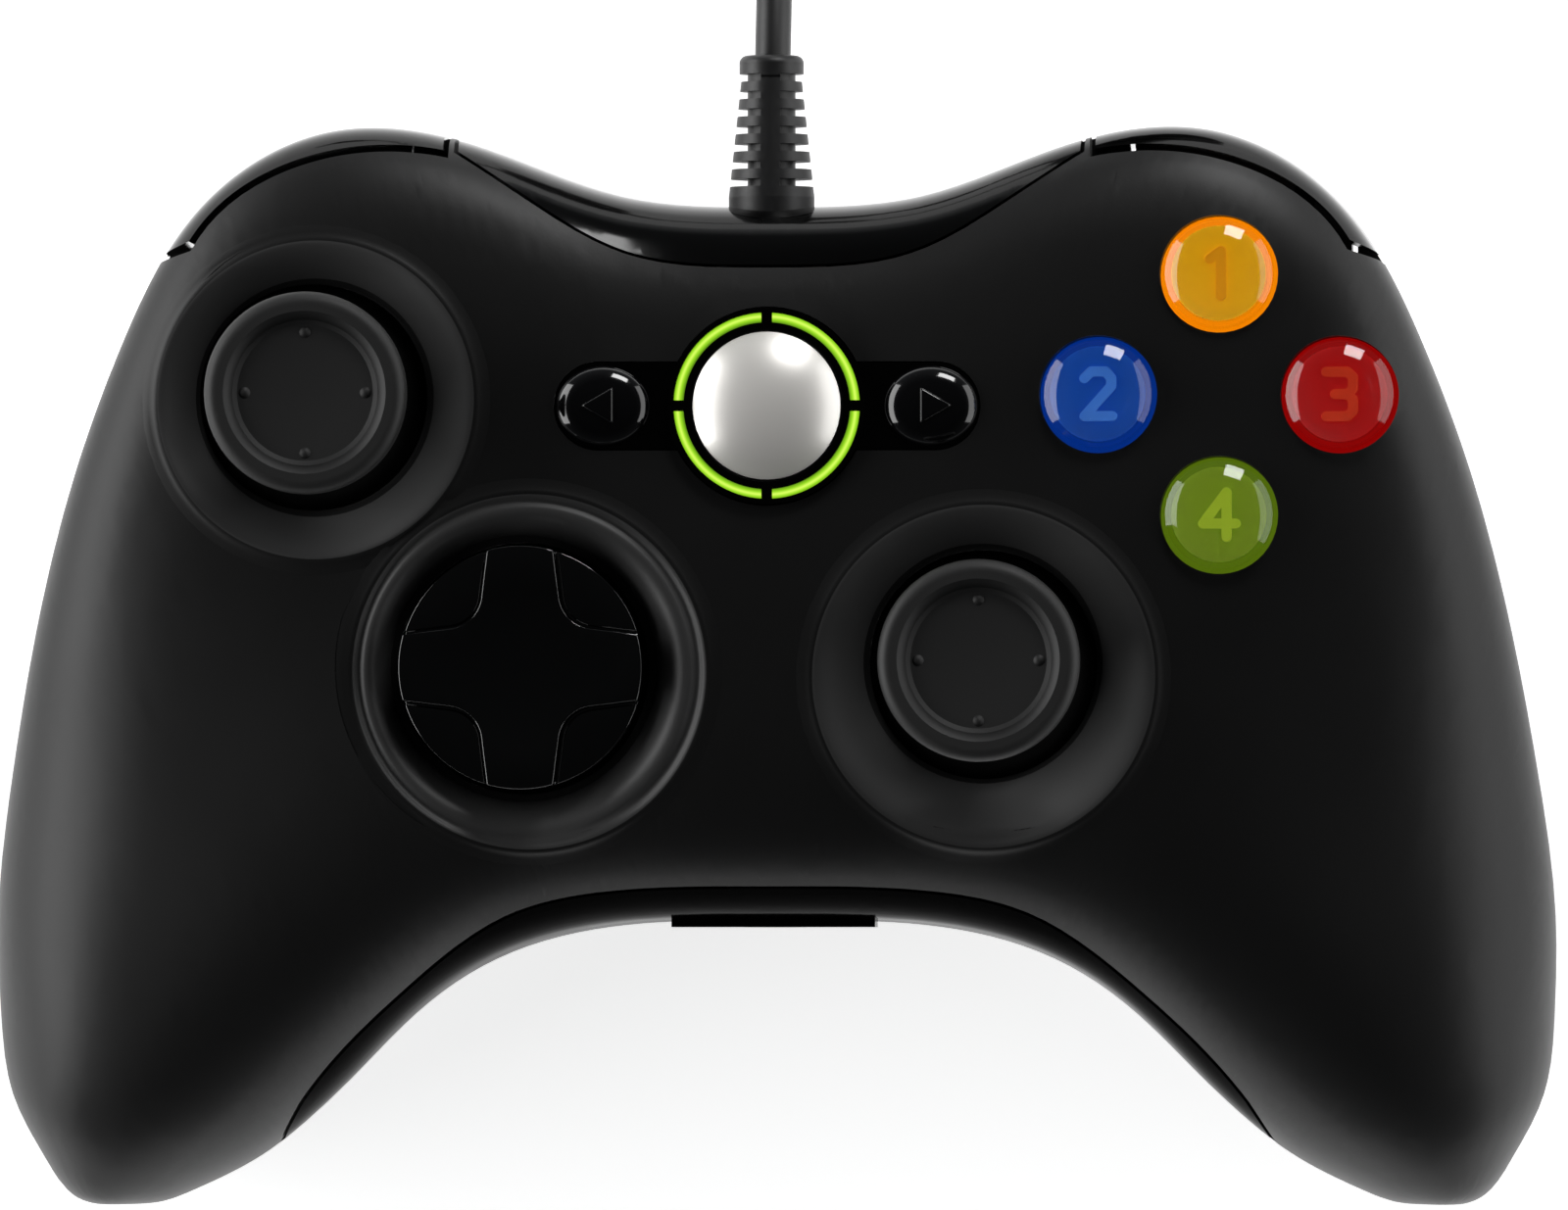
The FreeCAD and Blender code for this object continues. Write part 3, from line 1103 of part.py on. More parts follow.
jack_bore = cylinder("jack_bore", "sizes.jack_bore_d / 2", "13 mm", on(0, -13.5, jack_z),
                     Rotation(Vector(1, 0, 0), 90))
node("headset_socket", cut("headset_socket", fuse("jack_blank", [jack_body, jack_nose]), [jack_bore]))

# Strain relief: a tapered sleeve with side slots, held by a flange inside
relief_end = size("relief_end_y")
relief_wall = 44.2
cable_z = size("cable_z")
base_r = size("relief_base_d") / 2
tip_r = size("relief_tip_d") / 2
bore_r = size("cable_d") / 2 + 0.05
relief = turned("relief_body", [
    (0, 38.3), (base_r + 1.2, 38.3), (base_r + 1.2, 39.7), (base_r, 39.7), (base_r, relief_wall + 1),
    (tip_r + 0.15, relief_end - 2.2), (tip_r + 0.35, relief_end - 2.0), (tip_r + 0.35, relief_end - 0.9),
    (tip_r - 0.4, relief_end, (tip_r + 0.15, relief_end - 0.25)), (bore_r, relief_end),
    (bore_r, relief_wall + 0.3), (0, relief_wall + 0.3),
])
relief.Placement = Placement(on(0, 0, cable_z), along_y)
grooves = []
for index in range(7):
    y = relief_wall + 2.0 + 1.72 * index
    far = cylinder("groove_far%d" % index, "6 mm", "0.75 mm", on(0, y, cable_z), along_y)
    near = cylinder("groove_near%d" % index, "2.35 mm", "2 mm", on(0, y - 0.5, cable_z), along_y)
    spine = box("groove_spine%d" % index, "1.9 mm", "2 mm", "12 mm", on(-0.95, y - 0.5, cable_z - 6))
    grooves.append(cut("groove%d" % index, far, [near, spine]))
node("strain_relief", cut("strain_relief", relief, grooves))
doc.recompute()


# The middle of the arc that leaves start along a direction and ends at end
def arc_middle(start, direction, end):
    chord_run = end - start
    turn = chord_run.getAngle(direction)
    corner = start + direction * (chord_run.Length / 2 / math.cos(turn))
    middle = (start + end) * 0.5
    return middle + (corner - middle).normalize() * (chord_run.Length / 2 * math.tan(turn / 2))


# A route of straight runs with each corner rounded as far as its runs allow
def rounded_route(points, name):
    edges = []
    radii = []
    last = points[0]
    for before, corner, after in zip(points, points[1:], points[2:]):
        arriving = (corner - before).normalize()
        leaving = (after - corner).normalize()
        trim = 0.45 * min((corner - before).Length, (after - corner).Length)
        start = corner - arriving * trim
        end = corner + leaving * trim
        radii.append(round(trim / math.tan(arriving.getAngle(leaving) / 2), 1))
        edges.append(Part.makeLine(last, start))
        edges.append(Part.Arc(start, arc_middle(start, arriving, end), end).toShape())
        last = end
    edges.append(Part.makeLine(last, points[-1]))
    print(name, "radii", radii)
    return edges


# Two tangent arcs between two points with given directions
def two_arcs(start, along_start, end, along_end):
    across = end - start
    total = along_start + along_end
    a = 2 * (1 - along_start.dot(along_end))
    b = across.dot(total)
    reach = (-b + math.sqrt(b * b + a * across.dot(across))) / a
    joint = (start + along_start * reach + end - along_end * reach) * 0.5
    first = Part.Arc(start, arc_middle(start, along_start, joint), joint)
    second = Part.Arc(joint, arc_middle(end, along_end * -1, joint), end)
    return [first.toShape(), second.toShape()]


def cable_tube(edges, name):
    start = edges[0].firstVertex(True).Point
    direction = edges[0].tangentAt(edges[0].FirstParameter)
    ring = Part.Wire([Part.Circle(start, direction, cable_r).toShape()])
    tube = Part.Wire(edges).makePipeShell([ring], True, False)
    length = sum(edge.Length for edge in edges)
    print(name, "length", round(length, 1), "volume over section times length",
          round(tube.Volume / (math.pi * cable_r ** 2 * length), 4))
    return tube


# The cable: straight out of the relief, down in an easy curve to the surface that
# the pad rests on, then into a put-away coil, and out of its top to the plug
cable_r = size("cable_d") / 2
lay_z = cable_r + 0.02
coil_pitch = 4.0
coil_turns = 5
coil_layers = 4
coil_dip = 1.2
coil_out = 29.6
lead_x = 1.5
coil_from = 127.5
coil_middle = Vector(lead_x + coil_out, coil_from, 0)
lead_points = [
    Vector(0, relief_wall + 0.35, cable_z), Vector(0, 72, cable_z), Vector(lead_x, 97, lay_z),
    Vector(lead_x, coil_from - size("cable_d"), lay_z),
]
lead = shape("cable_lead", cable_tube(rounded_route(lead_points, "lead"), "lead"))
node("cable_lead", lead)


# A point of the coil: turn counts whole turns from the start, clockwise from the
# left. Each layer takes coil_turns; its last half turn climbs and turns back.
def coil_point(turn):
    layer = min(int(turn // coil_turns), coil_layers - 1)
    within = turn - layer * coil_turns
    inwards = layer % 2 == 0
    flat_turns = coil_turns - 0.5 if layer < coil_layers - 1 else coil_turns
    steady = min(within, flat_turns)
    offset = 0.0
    climb = 0.0
    if within > flat_turns:
        part = (within - flat_turns) * 2
        offset = part * (1 - part) * coil_pitch / 2 + coil_dip * math.sin(math.pi * part) ** 2
        climb = 0.5 - 0.5 * math.cos(math.pi * part)
    low = coil_out - coil_pitch * (coil_turns - 0.5)
    radius = coil_out - coil_pitch * steady - offset if inwards else low + coil_pitch * steady + offset
    angle = math.pi - 2 * math.pi * turn
    height = lay_z + coil_pitch * (layer + climb)
    return coil_middle + Vector(radius * math.cos(angle), radius * math.sin(angle), height)


def coil_direction(turn):
    step = 0.002
    return (coil_point(turn + step) - coil_point(turn - step)).normalize()


quarters = coil_turns * coil_layers * 4
coil_edges = [Part.makeLine(lead_points[-1], coil_point(0))]
ahead = Vector(0, 1, 0)
last_point = coil_point(0)
for quarter in range(1, quarters + 1):
    turn = quarter / 4
    next_point = coil_point(turn)
    next_ahead = Vector(0, 1, 0) if quarter == quarters else coil_direction(turn)
    coil_edges += two_arcs(last_point, ahead, next_point, next_ahead)
    last_point = next_point
    ahead = next_ahead
coil_end = last_point + Vector(0, size("cable_d"), 0)
coil_edges.append(Part.makeLine(last_point, coil_end))
coil_tube = cable_tube(coil_edges, "coil")
spots = []
for edge in coil_edges:
    count = max(2, int(edge.Length / 1.5))
    spots += edge.discretize(count)[:-1]
least = min((a - b).Length for i, a in enumerate(spots) for b in spots[i + 12:])
print("least gap of the coil to itself", round(least - 2 * cable_r, 2))
node("cable_coil", shape("cable_coil", coil_tube))

# The free end: from the top of the coil down to the plug on the surface
plug_z = 4.0
tail_points = [
    coil_end, coil_end + Vector(0, 11, 0), Vector(-1, 157, 9.0), Vector(-12, 169, 5.6),
    Vector(-27, 172, plug_z), Vector(-41, 172, plug_z),
]
tail = shape("cable_tail", cable_tube(rounded_route(tail_points, "tail"), "tail"))
node("cable_tail", tail)

# Plug: a moulded body with a tapered neck, and a metal shell with its tongue
plug_at = tail_points[-1]
neck = cone("plug_neck", "sizes.cable_d / 2 + 0.7", "3.2 mm", "9 mm", plug_at,
            Rotation(Vector(0, 1, 0), -90))
block = box("plug_block", "20 mm", "15.6 mm", "7.9 mm", on(plug_at.x - 28.5, plug_at.y - 7.8, 0.05))
rounded = doc.addObject("Part::Fillet", "plug_rounded")
doc.recompute()
rounded.Base = block
rounded.Edges = [(index + 1, 1.6, 1.6) for index in range(12)]
node("plug_body", fuse("plug_body", [neck, rounded]))
shell_x = plug_at.x - 28.5
sleeve = box("plug_sleeve", "12.5 mm", "12 mm", "4.5 mm", on(shell_x - 12.5, plug_at.y - 6, plug_z - 2.25))
sleeve_in = box("plug_sleeve_in", "14 mm", "11.2 mm", "3.7 mm",
                on(shell_x - 14.2, plug_at.y - 5.6, plug_z - 1.85))
windows = [box("plug_window%d" % index, "2.2 mm", "2.2 mm", "3 mm",
               on(shell_x - 7.4, plug_at.y - 1.1 + offset, plug_z + 1))
           for index, offset in enumerate((-2.9, 2.9))]
tongue = box("plug_tongue", "11.2 mm", "10.8 mm", "1.7 mm",
             on(shell_x - 11.6, plug_at.y - 5.4, plug_z - 1.65))
node("plug_shell", group("plug_shell", [cut("plug_can", sleeve, [sleeve_in] + windows), tongue]))
doc.recompute()

# Every object must have been made, and every piece must be a sound solid
for obj in doc.Objects:
    if "Invalid" in obj.State or "Error" in obj.State:
        raise RuntimeError("not made: " + obj.Name)
os.makedirs("parts", exist_ok=True)
for name, obj in nodes.items():
    if obj.Shape.isNull() or not obj.Shape.isValid() or not obj.Shape.Solids:
        raise RuntimeError("not sound: " + name)
    obj.Shape.exportStep("parts/" + name + ".step")
print(len(nodes), "pieces")
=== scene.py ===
import bpy
import math
from mathutils import Matrix, Vector


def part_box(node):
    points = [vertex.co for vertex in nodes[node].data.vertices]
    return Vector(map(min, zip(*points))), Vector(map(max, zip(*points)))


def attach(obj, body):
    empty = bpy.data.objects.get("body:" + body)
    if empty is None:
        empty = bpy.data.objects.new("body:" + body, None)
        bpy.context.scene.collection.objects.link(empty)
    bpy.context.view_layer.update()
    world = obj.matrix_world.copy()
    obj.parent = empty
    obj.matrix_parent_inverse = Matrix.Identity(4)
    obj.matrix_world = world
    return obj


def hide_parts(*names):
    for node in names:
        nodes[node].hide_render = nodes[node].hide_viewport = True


# A wired gamepad with two thumbsticks, lying on a white table and seen from
# straight above. Lengths are in metres.
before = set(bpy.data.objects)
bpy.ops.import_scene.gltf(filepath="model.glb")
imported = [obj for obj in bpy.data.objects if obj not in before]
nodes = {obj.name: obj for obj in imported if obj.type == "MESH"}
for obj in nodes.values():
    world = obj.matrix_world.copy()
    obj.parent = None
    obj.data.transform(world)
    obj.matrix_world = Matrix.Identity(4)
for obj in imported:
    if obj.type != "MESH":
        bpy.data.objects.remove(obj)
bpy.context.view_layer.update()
MM = 0.001

# The table top: a sheet of white opal acrylic, lit softly from below as product
# tables are, so that it stays white right up to the pad. It runs out of the
# picture on every side and has a very fine, even tooth.


def linear(code):
    parts = [int(code[i:i + 2], 16) / 255 for i in (1, 3, 5)]
    return tuple(p / 12.92 if p <= 0.04045 else ((p + 0.055) / 1.055) ** 2.4
                 for p in parts) + (1.0,)


def add_node(tree, kind, settings, links):
    made = tree.nodes.new(kind)
    for name, value in settings.items():
        if name in made.inputs:
            made.inputs[name].default_value = value
        else:
            setattr(made, name, value)
    for name, source in links.items():
        tree.links.new(source, made.inputs[name])
    return made


def new_material(name):
    material = bpy.data.materials.new(name)
    material.use_nodes = True
    tree = material.node_tree
    shader = tree.nodes["Principled BSDF"]
    place = add_node(tree, "ShaderNodeTexCoord", {}, {}).outputs["Object"]
    return material, tree, shader, place


bpy.ops.object.select_all(action="DESELECT")
bpy.ops.mesh.primitive_plane_add(size=6.0, location=(0, 0, -0.0002))
table = bpy.context.object
table.name = "table_sheet"
opal, tree, shader, place = new_material("white opal acrylic")
tooth = add_node(tree, "ShaderNodeTexNoise", {"Scale": 900.0, "Detail": 3.0}, {"Vector": place})
press = add_node(tree, "ShaderNodeBump", {"Strength": 0.05, "Distance": 0.0001},
                 {"Height": tooth.outputs["Fac"]})
tree.links.new(press.outputs["Normal"], shader.inputs["Normal"])
shader.inputs["Base Color"].default_value = linear("#F4F4F4")
shader.inputs["Roughness"].default_value = 0.9
shader.inputs["Emission Color"].default_value = linear("#FFFFFF")
shader.inputs["Emission Strength"].default_value = 0.78
table.data.materials.append(opal)

# Studio light: a wide soft box stands at either side of the table and a small one
# hangs behind it, a little to the right. The room overhead is dark and gets
# paler towards the horizon and behind the table, so the black plastic reads dark
# with soft grey flanks.


def soft_box(name, at, towards, width, height, power):
    bpy.ops.object.light_add(type="AREA", location=at)
    lamp = bpy.context.object
    lamp.name = name
    lamp.data.shape = "RECTANGLE"
    lamp.data.size = width
    lamp.data.size_y = height
    lamp.data.energy = power
    aim = Vector(towards) - Vector(at)
    lamp.rotation_euler = aim.to_track_quat("-Z", "Y").to_euler()


soft_box("left_box", (-1.1, 0.15, 0.43), (0, 0.1, 0.25), 1.6, 0.75, 17)
soft_box("right_box", (1.1, 0.15, 0.43), (0, 0.1, 0.25), 1.6, 0.75, 8)
soft_box("back_box", (0.35, 0.95, 0.62), (0, 0, 0), 0.4, 0.3, 5.2)
room = bpy.data.worlds.new("studio_room")
bpy.context.scene.world = room
room.use_nodes = True
sky = room.node_tree
aim = add_node(sky, "ShaderNodeTexCoord", {}, {}).outputs["Generated"]
height = add_node(sky, "ShaderNodeSeparateXYZ", {}, {"Vector": aim})
fade = add_node(sky, "ShaderNodeValToRGB", {}, {"Fac": height.outputs["Z"]})
fade.color_ramp.elements[0].color = linear("#D8DADC")
fade.color_ramp.elements[1].color = linear("#242526")
fade.color_ramp.elements[1].position = 0.75
fade.color_ramp.elements.new(0.14).color = linear("#606264")
depth = add_node(sky, "ShaderNodeMapRange",
                 {"From Min": -0.7, "From Max": 0.7, "To Min": 0.4, "To Max": 1.15},
                 {"Value": height.outputs["Y"]})
sky.links.new(fade.outputs["Color"], sky.nodes["Background"].inputs["Color"])
sky.links.new(depth.outputs["Result"], sky.nodes["Background"].inputs["Strength"])
bpy.context.scene.view_settings.view_transform = "Standard"

# Camera: a long lens almost straight above, leaning a little to the player's
# right and towards the player.
picture_width = 154.48 * MM
distance = 2.0
sensor = 36.0
away = Vector((0.037, -0.02, 1.0)).normalized()
across = Vector((0, 1, 0)).cross(away).normalized()
upright = away.cross(across)
looking_at = Vector((0.8, 5.46, 20.0)) * MM
bpy.ops.object.camera_add()
camera = bpy.context.object
camera.name = "photo_camera"
turn = Matrix((across, upright, away)).transposed().to_4x4()
camera.matrix_world = Matrix.Translation(looking_at + away * distance) @ turn
camera.data.sensor_width = sensor
camera.data.lens = sensor * distance / picture_width
camera.data.clip_start = 0.1
camera.data.clip_end = 10.0
bpy.context.scene.camera = camera

# The two casings: injection-moulded ABS, black right through, from a tool with
# a fine spark-eroded grain. The eye sees a deep matt black that turns soft grey
# where the light grazes it.


def dress(material, *names):
    for name in names:
        for slot in nodes[name].material_slots:
            slot.material = material


grained_abs, tree, shader, place = new_material("grained black ABS")
grain = add_node(tree, "ShaderNodeTexNoise", {"Scale": 1 / (0.32 * MM), "Detail": 2.0},
                 {"Vector": place})
broad = add_node(tree, "ShaderNodeTexNoise", {"Scale": 1 / (18 * MM), "Detail": 2.0},
                 {"Vector": place})
sheen = add_node(tree, "ShaderNodeMapRange", {"To Min": 0.4, "To Max": 0.47},
                 {"Value": broad.outputs["Fac"]})
press = add_node(tree, "ShaderNodeBump", {"Strength": 0.18, "Distance": 0.03 * MM},
                 {"Height": grain.outputs["Fac"]})
tree.links.new(sheen.outputs["Result"], shader.inputs["Roughness"])
tree.links.new(press.outputs["Normal"], shader.inputs["Normal"])
shader.inputs["Base Color"].default_value = linear("#080808")
shader.inputs["IOR"].default_value = 1.4
shader.inputs["Sheen Weight"].default_value = 0.06
shader.inputs["Sheen Roughness"].default_value = 0.4
dress(grained_abs, "front_shell", "rear_shell")

# The rims of the three bowls, moulded in one with the front casing: the bowl's
# wall rolls over into a fine raised ridge, and round the direction pad a groove
# runs inside the ridge. The wall has a drier grain than the rest and a paler base
# colour, which is painted light: it stands in for soft grey highlights on the walls.
painted_light_wall_abs, tree, shader, place = new_material("grained black ABS, walls painted paler")
grain = add_node(tree, "ShaderNodeTexNoise", {"Scale": 1 / (0.32 * MM), "Detail": 2.0},
                 {"Vector": place})
press = add_node(tree, "ShaderNodeBump", {"Strength": 0.18, "Distance": 0.03 * MM},
                 {"Height": grain.outputs["Fac"]})
tree.links.new(press.outputs["Normal"], shader.inputs["Normal"])
# Paler than the casing's black: painted light on the bowl walls.
shader.inputs["Base Color"].default_value = linear("#323232")
shader.inputs["Roughness"].default_value = 0.45
shader.inputs["IOR"].default_value = 1.45
shell = nodes["front_shell"]
above_pad = 200 * MM
rim_columns = 144
smoothed_over = 6
wall_skin = 0.12 * MM
flank_skin = 0.02 * MM
sunk_edge = 0.05 * MM


def shell_height(x, y):
    back = shell.matrix_world.inverted()
    down = back.to_3x3() @ Vector((0, 0, -1))
    start = back @ Vector((x, y, above_pad))
    return (shell.matrix_world @ shell.ray_cast(start, down)[1]).z


def bowl_rim(name, hole, inner, ridge, crest, wall, lift):
    flank = [(0.45, 0.4), (0.9, 0.75), (1.4, 0.93), (1.9, 1.0)]
    steps = [(share, inner + (crest - inner) * share) for share, rise in wall]
    steps += [(1.0, crest + out * MM) for out, fall in flank]
    bpy.ops.object.select_all(action="DESELECT")
    bpy.ops.mesh.primitive_circle_add(vertices=rim_columns, radius=inner, location=(*hole, 0))
    rim = bpy.context.object
    rim.name = name
    bpy.ops.object.mode_set(mode="EDIT")
    bpy.ops.mesh.select_all(action="SELECT")
    at, reach = Vector(hole), inner
    for share, radius in steps[1:]:
        to = Vector(hole).lerp(Vector(ridge), share)
        bpy.ops.mesh.extrude_region_move()
        grown = radius / reach
        bpy.ops.transform.resize(value=(grown, grown, 1), center_override=(*at, 0))
        bpy.ops.transform.translate(value=(*(to - at), 0))
        at, reach = to, radius
    bpy.ops.object.mode_set(mode="OBJECT")
    bpy.ops.object.transform_apply(location=True)
    points = [point.co for point in rim.data.vertices]
    columns = [points[index::rim_columns] for index in range(rim_columns)]
    levels = []
    for column in columns:
        aim = (column[-1].xy - Vector(ridge)).normalized()
        levels.append(max(shell_height(*(Vector(ridge) + aim * (crest + out * MM)))
                          for out in (-0.4, 0, 0.4, 0.8, 1.2)))
    window = range(-smoothed_over, smoothed_over + 1)
    for index, column in enumerate(columns):
        foot = shell_height(column[0].x, column[0].y)
        end = shell_height(column[-1].x, column[-1].y)
        near = [levels[(index + turn) % rim_columns] for turn in window]
        top = sum(near) / len(near) + lift
        for point, (share, rise) in zip(column, wall):
            least = shell_height(point.x, point.y) + wall_skin
            point.z = max(foot + (top - foot) * rise, least)
        for point, (out, fall) in zip(column[len(wall):], flank):
            least = shell_height(point.x, point.y) + flank_skin
            point.z = max(top + (end - top) * fall, least)
        column[-1].z = end - sunk_edge
        column[0].z = foot - sunk_edge
    bpy.ops.object.mode_set(mode="EDIT")
    bpy.ops.mesh.select_all(action="SELECT")
    bpy.ops.mesh.normals_make_consistent(inside=False)
    bpy.ops.object.mode_set(mode="OBJECT")
    if rim.data.polygons[0].normal.z < 0:
        rim.data.flip_normals()
    bpy.ops.object.shade_smooth()
    rim.data.materials.append(grained_abs)
    rim.data.materials.append(painted_light_wall_abs)
    # Faces inside the crest, the bowl's wall, take the paler copy: painted light.
    for face in rim.data.polygons:
        face.material_index = int((face.center.xy - Vector(ridge)).length < crest)
    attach(rim, "shell_and_board")


# Each wall is a list of pairs: the share of the way from the hole to the crest,
# and the share of the height that it has reached there.
stick_wall = [(step / 12, 1 - (1 - step / 12) ** 1.5) for step in range(13)]
pad_wall = [(0, 0), (0.06, 0.3), (0.14, 0.52), (0.26, 0.74), (0.4, 0.88), (0.52, 0.95),
            (0.63, 0.97), (0.72, 0.95), (0.79, 0.9), (0.86, 0.89), (0.92, 0.95), (1, 1)]
bowl_rim("left_stick_rim", (-44.4 * MM, 25.4 * MM), 11.6 * MM,
         (-44.1 * MM, 25.05 * MM), 15.55 * MM, stick_wall, 0.35 * MM)
bowl_rim("right_stick_rim", (20.9 * MM, -0.6 * MM), 11.6 * MM,
         (21.1 * MM, -1.97 * MM), 16.7 * MM, stick_wall, 0.35 * MM)
bowl_rim("pad_rim", (-24.0 * MM, -1.1 * MM), 13.0 * MM,
         (-23.2 * MM, -1.5 * MM), 17.3 * MM, pad_wall, 0.3 * MM)

# The glossy trims, the centre panel and the bumpers: polished black ABS. It
# mirrors the room softly, with faint waves from the mould and a hint of handling
# haze.
polished_abs, tree, shader, place = new_material("polished black ABS")
haze = add_node(tree, "ShaderNodeTexNoise", {"Scale": 1 / (9 * MM), "Detail": 4.0},
                {"Vector": place})
gloss = add_node(tree, "ShaderNodeMapRange", {"To Min": 0.07, "To Max": 0.13},
                 {"Value": haze.outputs["Fac"]})
tree.links.new(gloss.outputs["Result"], shader.inputs["Roughness"])
shader.inputs["Base Color"].default_value = linear("#020202")
shader.inputs["IOR"].default_value = 1.33
dress(polished_abs, "back_trim", "centre_panel", "left_bumper", "right_bumper")

# The strip under the front arch: the same polished ABS, with its reflection
# turned down as painted shade, so that it takes up less of the pale table in front of it.
shaded_copy_abs, tree, shader, place = new_material("polished black ABS, shaded copy")
haze = add_node(tree, "ShaderNodeTexNoise", {"Scale": 1 / (9 * MM), "Detail": 4.0},
                {"Vector": place})
gloss = add_node(tree, "ShaderNodeMapRange", {"To Min": 0.1, "To Max": 0.16},
                 {"Value": haze.outputs["Fac"]})
tree.links.new(gloss.outputs["Result"], shader.inputs["Roughness"])
shader.inputs["Base Color"].default_value = linear("#020202")
# An IOR near 1 all but removes the reflection: painted shade on this strip.
shader.inputs["IOR"].default_value = 1.03
dress(shaded_copy_abs, "lower_trim")

# The direction pad: piano-black ABS, a disc with a raised cross. Its edges are
# rounded in the mould and catch the light as fine double lines.
piano_abs, tree, shader, place = new_material("piano black ABS")
haze = add_node(tree, "ShaderNodeTexNoise", {"Scale": 1 / (7 * MM), "Detail": 4.0},
                {"Vector": place})
gloss = add_node(tree, "ShaderNodeMapRange", {"To Min": 0.05, "To Max": 0.1},
                 {"Value": haze.outputs["Fac"]})
tree.links.new(gloss.outputs["Result"], shader.inputs["Roughness"])
shader.inputs["Base Color"].default_value = linear("#020202")
shader.inputs["IOR"].default_value = 1.6
shader.inputs["Coat Weight"].default_value = 1.0
shader.inputs["Coat IOR"].default_value = 1.7


def rounded(node, body, width, material):
    bpy.ops.object.select_all(action="DESELECT")
    piece = nodes[node].copy()
    piece.data = nodes[node].data.copy()
    piece.name = node + "_rounded"
    bpy.context.scene.collection.objects.link(piece)
    bpy.context.view_layer.objects.active = piece
    piece.select_set(True)
    bpy.ops.object.mode_set(mode="EDIT")
    bpy.ops.mesh.select_all(action="SELECT")
    bpy.ops.mesh.remove_doubles(threshold=0.002 * MM)
    bpy.ops.mesh.dissolve_limited(angle_limit=math.radians(0.6))
    bpy.ops.object.mode_set(mode="OBJECT")
    soften = piece.modifiers.new("soften", "BEVEL")
    soften.width = width
    soften.segments = 3
    soften.limit_method = "ANGLE"
    soften.angle_limit = math.radians(40)
    bpy.ops.object.modifier_apply(modifier="soften")
    bpy.ops.object.shade_smooth_by_angle(angle=math.radians(50))
    piece.data.materials.clear()
    piece.data.materials.append(material)
    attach(piece, body)
    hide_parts(node)


rounded("dpad", "dpad", 0.22 * MM, piano_abs)

# The light ring: four curved light pipes of frosted acrylic, lit lime green by
# lamps on the board. A bright line runs along the middle of each pipe, and its
# edges fade to a deep green.
lit_acrylic, tree, shader, place = new_material("lit frosted acrylic")
ring_inner, ring_outer = 8.05 * MM, 9.25 * MM
low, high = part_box("light_ring")
middle = (low + high) / 2
spot = add_node(tree, "ShaderNodeSeparateXYZ", {}, {"Vector": place})
flat = add_node(tree, "ShaderNodeCombineXYZ", {},
                {"X": spot.outputs["X"], "Y": spot.outputs["Y"]})
reach = add_node(tree, "ShaderNodeVectorMath", {"operation": "DISTANCE"},
                 {0: flat.outputs["Vector"]})
reach.inputs[1].default_value = (middle.x, middle.y, 0)
band = add_node(tree, "ShaderNodeMapRange", {"From Min": ring_inner, "From Max": ring_outer},
                {"Value": reach.outputs["Value"]})
glow = add_node(tree, "ShaderNodeValToRGB", {}, {"Fac": band.outputs["Result"]})
glow.color_ramp.elements[0].color = linear("#2E5A0A")
glow.color_ramp.elements[1].color = linear("#38680C")
glow.color_ramp.elements.new(0.32).color = linear("#96D81C")
glow.color_ramp.elements.new(0.52).color = linear("#DCFF62")
glow.color_ramp.elements.new(0.72).color = linear("#9ADC1E")
tree.links.new(glow.outputs["Color"], shader.inputs["Emission Color"])
shader.inputs["Emission Strength"].default_value = 1.0
shader.inputs["Base Color"].default_value = linear("#2E4A0A")
shader.inputs["Roughness"].default_value = 0.4
dress(lit_acrylic, "light_ring")

# The guide button: a moulded dome with pearl silver paint under clear lacquer.
# Its flakes are too fine to see one by one and give a soft metallic falloff.
pearl_paint, tree, shader, place = new_material("pearl silver paint")
flakes = add_node(tree, "ShaderNodeTexVoronoi", {"Scale": 1 / (0.18 * MM)}, {"Vector": place})
press = add_node(tree, "ShaderNodeBump", {"Strength": 0.05, "Distance": 0.01 * MM},
                 {"Height": flakes.outputs["Distance"]})
tree.links.new(press.outputs["Normal"], shader.inputs["Normal"])
shader.inputs["Base Color"].default_value = linear("#F2EFEA")
shader.inputs["Metallic"].default_value = 0.45
shader.inputs["Roughness"].default_value = 0.34
shader.inputs["Coat Weight"].default_value = 0.6
shader.inputs["Coat Roughness"].default_value = 0.06
dress(pearl_paint, "guide_button")

# The two small menu buttons: charcoal ABS, an oval dome polished to a mirror, with
# a raised triangle moulded in one with it. The same plastic lines the headset
# socket.
charcoal_abs, tree, shader, place = new_material("charcoal polished ABS")
swirl = add_node(tree, "ShaderNodeTexNoise", {"Scale": 1 / (3 * MM), "Detail": 3.0},
                 {"Vector": place})
gloss = add_node(tree, "ShaderNodeMapRange", {"To Min": 0.06, "To Max": 0.1},
                 {"Value": swirl.outputs["Fac"]})
tree.links.new(gloss.outputs["Result"], shader.inputs["Roughness"])
shader.inputs["Base Color"].default_value = linear("#060607")
shader.inputs["IOR"].default_value = 1.6
dress(charcoal_abs, "headset_socket")
dome_middle, dome_rise = 43.2 * MM, 1.75 * MM
mark_middle, mark_radius, mark_thick = 44.6 * MM, 2.1 * MM, 1.2 * MM


